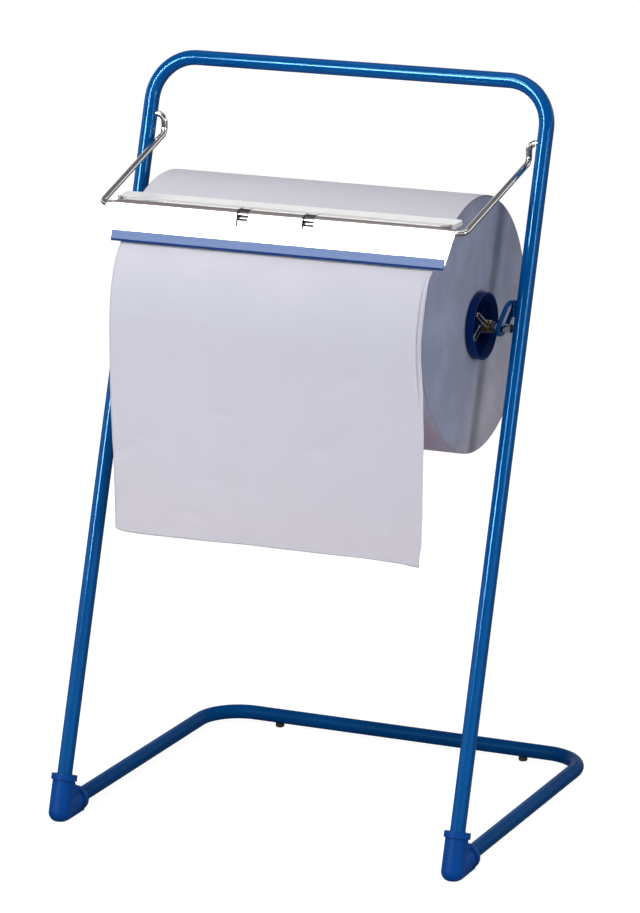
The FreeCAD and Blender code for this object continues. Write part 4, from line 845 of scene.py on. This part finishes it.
class STAND_OT_loose_paper(bpy.types.Operator):
    """Hangs the loose end of the paper over the roll and down behind the tear edge"""

    bl_idname = "stand.loose_paper"
    bl_label = "Loose paper"

    # Points of the front of the sheet in the Y-Z plane, from under the plate to the lower edge.
    HANG = ((-0.1377, 0.6620), (-0.1512, 0.6455), (-0.1628, 0.6200), (-0.1682, 0.5935),
            (-0.1698, 0.5595), (-0.1705, 0.4500), (-0.1713, 0.3395))
    # Height above the roll, half width on it, and how many rows above the lower edge follow it.
    ABOVE_ROLL, HALF_WIDTH, LAST_ROWS = 0.0007, 0.1888, 8
    # Width of the strip along the right edge that stands up and turns back.
    TURNED = 0.0047

    def execute(self, context):
        settings = context.scene.stand_paper
        radius = ROLL_RADIUS + self.ABOVE_ROLL
        points = []
        for degrees in range(-21, 47, 4):
            angle = math.radians(degrees)
            points.append(Vector((0, AXLE.y - radius * math.sin(angle),
                                  AXLE.z + radius * math.cos(angle))))
        points += [Vector((0, y, z)) for y, z in self.HANG]
        line = smooth_line(points, 0.0032)
        travel = [0.0]
        for a, b in zip(line, line[1:]):
            travel.append(travel[-1] + (b - a).length)
        bm = bmesh.new()
        bmesh.ops.create_grid(bm, x_segments=160, y_segments=len(line) - 1, size=0.5)
        for vert in bm.verts:
            # A fifth of the columns fills the last twentieth of the width, for the turned edge.
            share = vert.co.x + 0.5
            across = share * 2.375 - 1.0 if share < 0.8 else 0.9 + (share - 0.8) * 0.5
            row = round((0.5 - vert.co.y) * (len(line) - 1))
            vert.co = self.point(line, row, across, settings.droop)
        bmesh.ops.recalc_face_normals(bm, faces=bm.faces)
        piece = new_piece("loose_paper", bm, [paper_face(settings)], "stand",
                          replaces=["paper_web"])
        shell = piece.modifiers.new("thickness", "SOLIDIFY")
        shell.thickness = settings.thickness
        shell.offset = 0.0
        return {"FINISHED"}

    # Half the sheet's width by height, on the left and on the right.
    LEFT_EDGE = ((0.680, 0.1888), (0.527, 0.1887), (0.342, 0.1832))
    RIGHT_EDGE = ((0.680, 0.1888), (0.648, 0.1843), (0.612, 0.1847), (0.590, 0.1840),
                  (0.568, 0.1844), (0.546, 0.1861), (0.524, 0.1876), (0.480, 0.1890),
                  (0.436, 0.1882), (0.404, 0.1880), (0.364, 0.1872), (0.345, 0.1845))
    # Height of the lower edge, from left to right.
    LOWER_EDGE = ((-0.184, 0.3432), (-0.180, 0.3400), (-0.172, 0.3384), (-0.148, 0.3378),
                  (-0.078, 0.3384), (-0.010, 0.3399), (0.058, 0.3398), (0.124, 0.3405),
                  (0.158, 0.3396), (0.184, 0.3374))
    # Soft creases: middle (x, z), turn in degrees, half length, half width and depth.
    CREASES = ((-0.052, 0.482, -8, 0.016, 0.0050, 0.0011),
               (-0.036, 0.497, 70, 0.012, 0.0050, 0.0006),
               (-0.066, 0.408, -4, 0.014, 0.0050, 0.0009),
               (-0.094, 0.366, -8, 0.022, 0.0060, 0.0008),
               (-0.022, 0.370, 6, 0.018, 0.0055, 0.0006),
               (-0.170, 0.430, 28, 0.020, 0.0070, 0.0012),
               (-0.150, 0.447, -20, 0.014, 0.0060, 0.0008),
               (0.095, 0.530, 24, 0.026, 0.0090, 0.0011),
               (0.060, 0.452, 8, 0.024, 0.0070, 0.0008),
               (0.135, 0.475, 50, 0.020, 0.0080, 0.0009),
               (-0.155, 0.560, 64, 0.018, 0.0070, 0.0007),
               (0.152, 0.376, 78, 0.020, 0.0060, 0.0014),
               (0.020, 0.400, -30, 0.016, 0.0060, 0.0006),
               (-0.120, 0.390, 40, 0.018, 0.0065, 0.0008))

    def point(self, line, row, across, depth):
        """A point of the sheet, with its waves, its creases and its turned right edge."""
        spot = line[row].copy()
        ahead = line[min(row + 1, len(line) - 1)] - line[max(row - 1, 0)]
        out = Vector((0, ahead.z, -ahead.y)).normalized()
        hangs = spot.y < -0.13
        free = between(0.655 - spot.z, 0.0, 0.12) if hangs else 0.0
        half = self.HALF_WIDTH
        if hangs:
            half = self.along(self.LEFT_EDGE if across < 0 else self.RIGHT_EDGE, spot.z)
        spot.x = across * half
        wave = noise.noise(Vector((spot.x * 9.0, 1.7, spot.z * 5.0)))
        wave += 0.45 * noise.noise(Vector((spot.x * 21.0 + 4.0, 5.2, spot.z * 13.0)))
        wave += 0.10 * noise.noise(Vector((spot.x * 60.0, 9.1, spot.z * 52.0)))
        offset = depth * free * wave
        for x, z, turn, reach, width, dent in self.CREASES:
            angle = math.radians(turn)
            along = (spot.x - x) * math.cos(angle) + (spot.z - z) * math.sin(angle)
            off = (spot.z - z) * math.cos(angle) - (spot.x - x) * math.sin(angle)
            off += 9.0 * along * along
            if abs(along) < 2.5 * reach and abs(off) < 3 * width:
                offset -= dent * free * math.exp(-(along / reach) ** 2 - (off / width) ** 2) \
                    * (0.6 + off / width)
        turned = between(spot.z, 0.50, 0.55) * (1.0 - between(spot.z, 0.628, 0.660))
        seam = spot.x - half + self.TURNED if across > 0 else -1.0
        offset += 0.0012 * turned * between(seam, 0.0, 0.0022)
        offset -= 0.0022 * turned * math.exp(-(seam / 0.0015) ** 2)
        offset -= 0.0030 * turned * between(seam, 0.0018, self.TURNED)
        spot += out * offset
        below = row - (len(line) - 1 - self.LAST_ROWS)
        if below > 0:
            share = below / self.LAST_ROWS
            spot.z += (self.along(self.LOWER_EDGE, spot.x) - self.HANG[-1][1]) * share * share
        return spot

    def along(self, table, at):
        """The value of a table of pairs at a place, smooth between its points."""
        pairs = sorted(table)
        if at <= pairs[0][0]:
            return pairs[0][1]
        for (low, first), (high, second) in zip(pairs, pairs[1:]):
            if at <= high:
                return first + (second - first) * between(at, low, high)
        return pairs[-1][1]


class STAND_OT_fittings(bpy.types.Operator):
    """Finishes the cones, clips, washers, axle and caps"""

    bl_idname = "stand.fittings"
    bl_label = "Roll fittings"

    def execute(self, context):
        settings = context.scene.stand_fittings
        dress(cone_plastic(settings), "left_cone", "right_cone")
        dress(clip_wire(settings), "left_spring_clip", "right_spring_clip")
        dress(plain_metal("zinc_washer", settings.zinc, 0.22, 0.4), "left_washer",
              "right_washer")
        dress(plain_metal("axle_tube", settings.axle, 0.08, 0.14), "axle_rod")
        dress(axle_cap(settings), "left_axle_cap", "right_axle_cap")
        return {"FINISHED"}


class STAND_PT_panel(bpy.types.Panel):
    """Lists the stand's pieces in the sidebar"""

    bl_idname = "STAND_PT_panel"
    bl_label = "Paper Roll Stand"
    bl_space_type = "VIEW_3D"
    bl_region_type = "UI"
    bl_category = "Stand"

    def draw(self, context):
        for operator, store in STEPS:
            box = self.layout.box()
            box.operator(operator.bl_idname)
            settings = getattr(context.scene, store)
            for name in settings.bl_rna.properties.keys():
                if name not in ("rna_type", "name"):
                    box.prop(settings, name)


STORES = {
    "stand_stage": StageSettings,
    "stand_frame": FrameSettings,
    "stand_bail": BailSettings,
    "stand_paper": PaperSettings,
    "stand_fittings": FittingSettings,
}

STEPS = (
    (STAND_OT_stage, "stand_stage"),
    (STAND_OT_frame, "stand_frame"),
    (STAND_OT_bail, "stand_bail"),
    (STAND_OT_roll, "stand_paper"),
    (STAND_OT_loose_paper, "stand_paper"),
    (STAND_OT_fittings, "stand_fittings"),
)


def register():
    for group in STORES.values():
        bpy.utils.register_class(group)
    for operator, store in STEPS:
        bpy.utils.register_class(operator)
    bpy.utils.register_class(STAND_PT_panel)
    for store, group in STORES.items():
        setattr(bpy.types.Scene, store, PointerProperty(type=group))


def unregister():
    for store in STORES:
        delattr(bpy.types.Scene, store)
    bpy.utils.unregister_class(STAND_PT_panel)
    for operator, store in reversed(STEPS):
        bpy.utils.unregister_class(operator)
    for group in reversed(list(STORES.values())):
        bpy.utils.unregister_class(group)


def main():
    register()
    for operator, store in STEPS:
        group, name = operator.bl_idname.split(".")
        getattr(getattr(bpy.ops, group), name)()


if __name__ == "__main__":
    main()
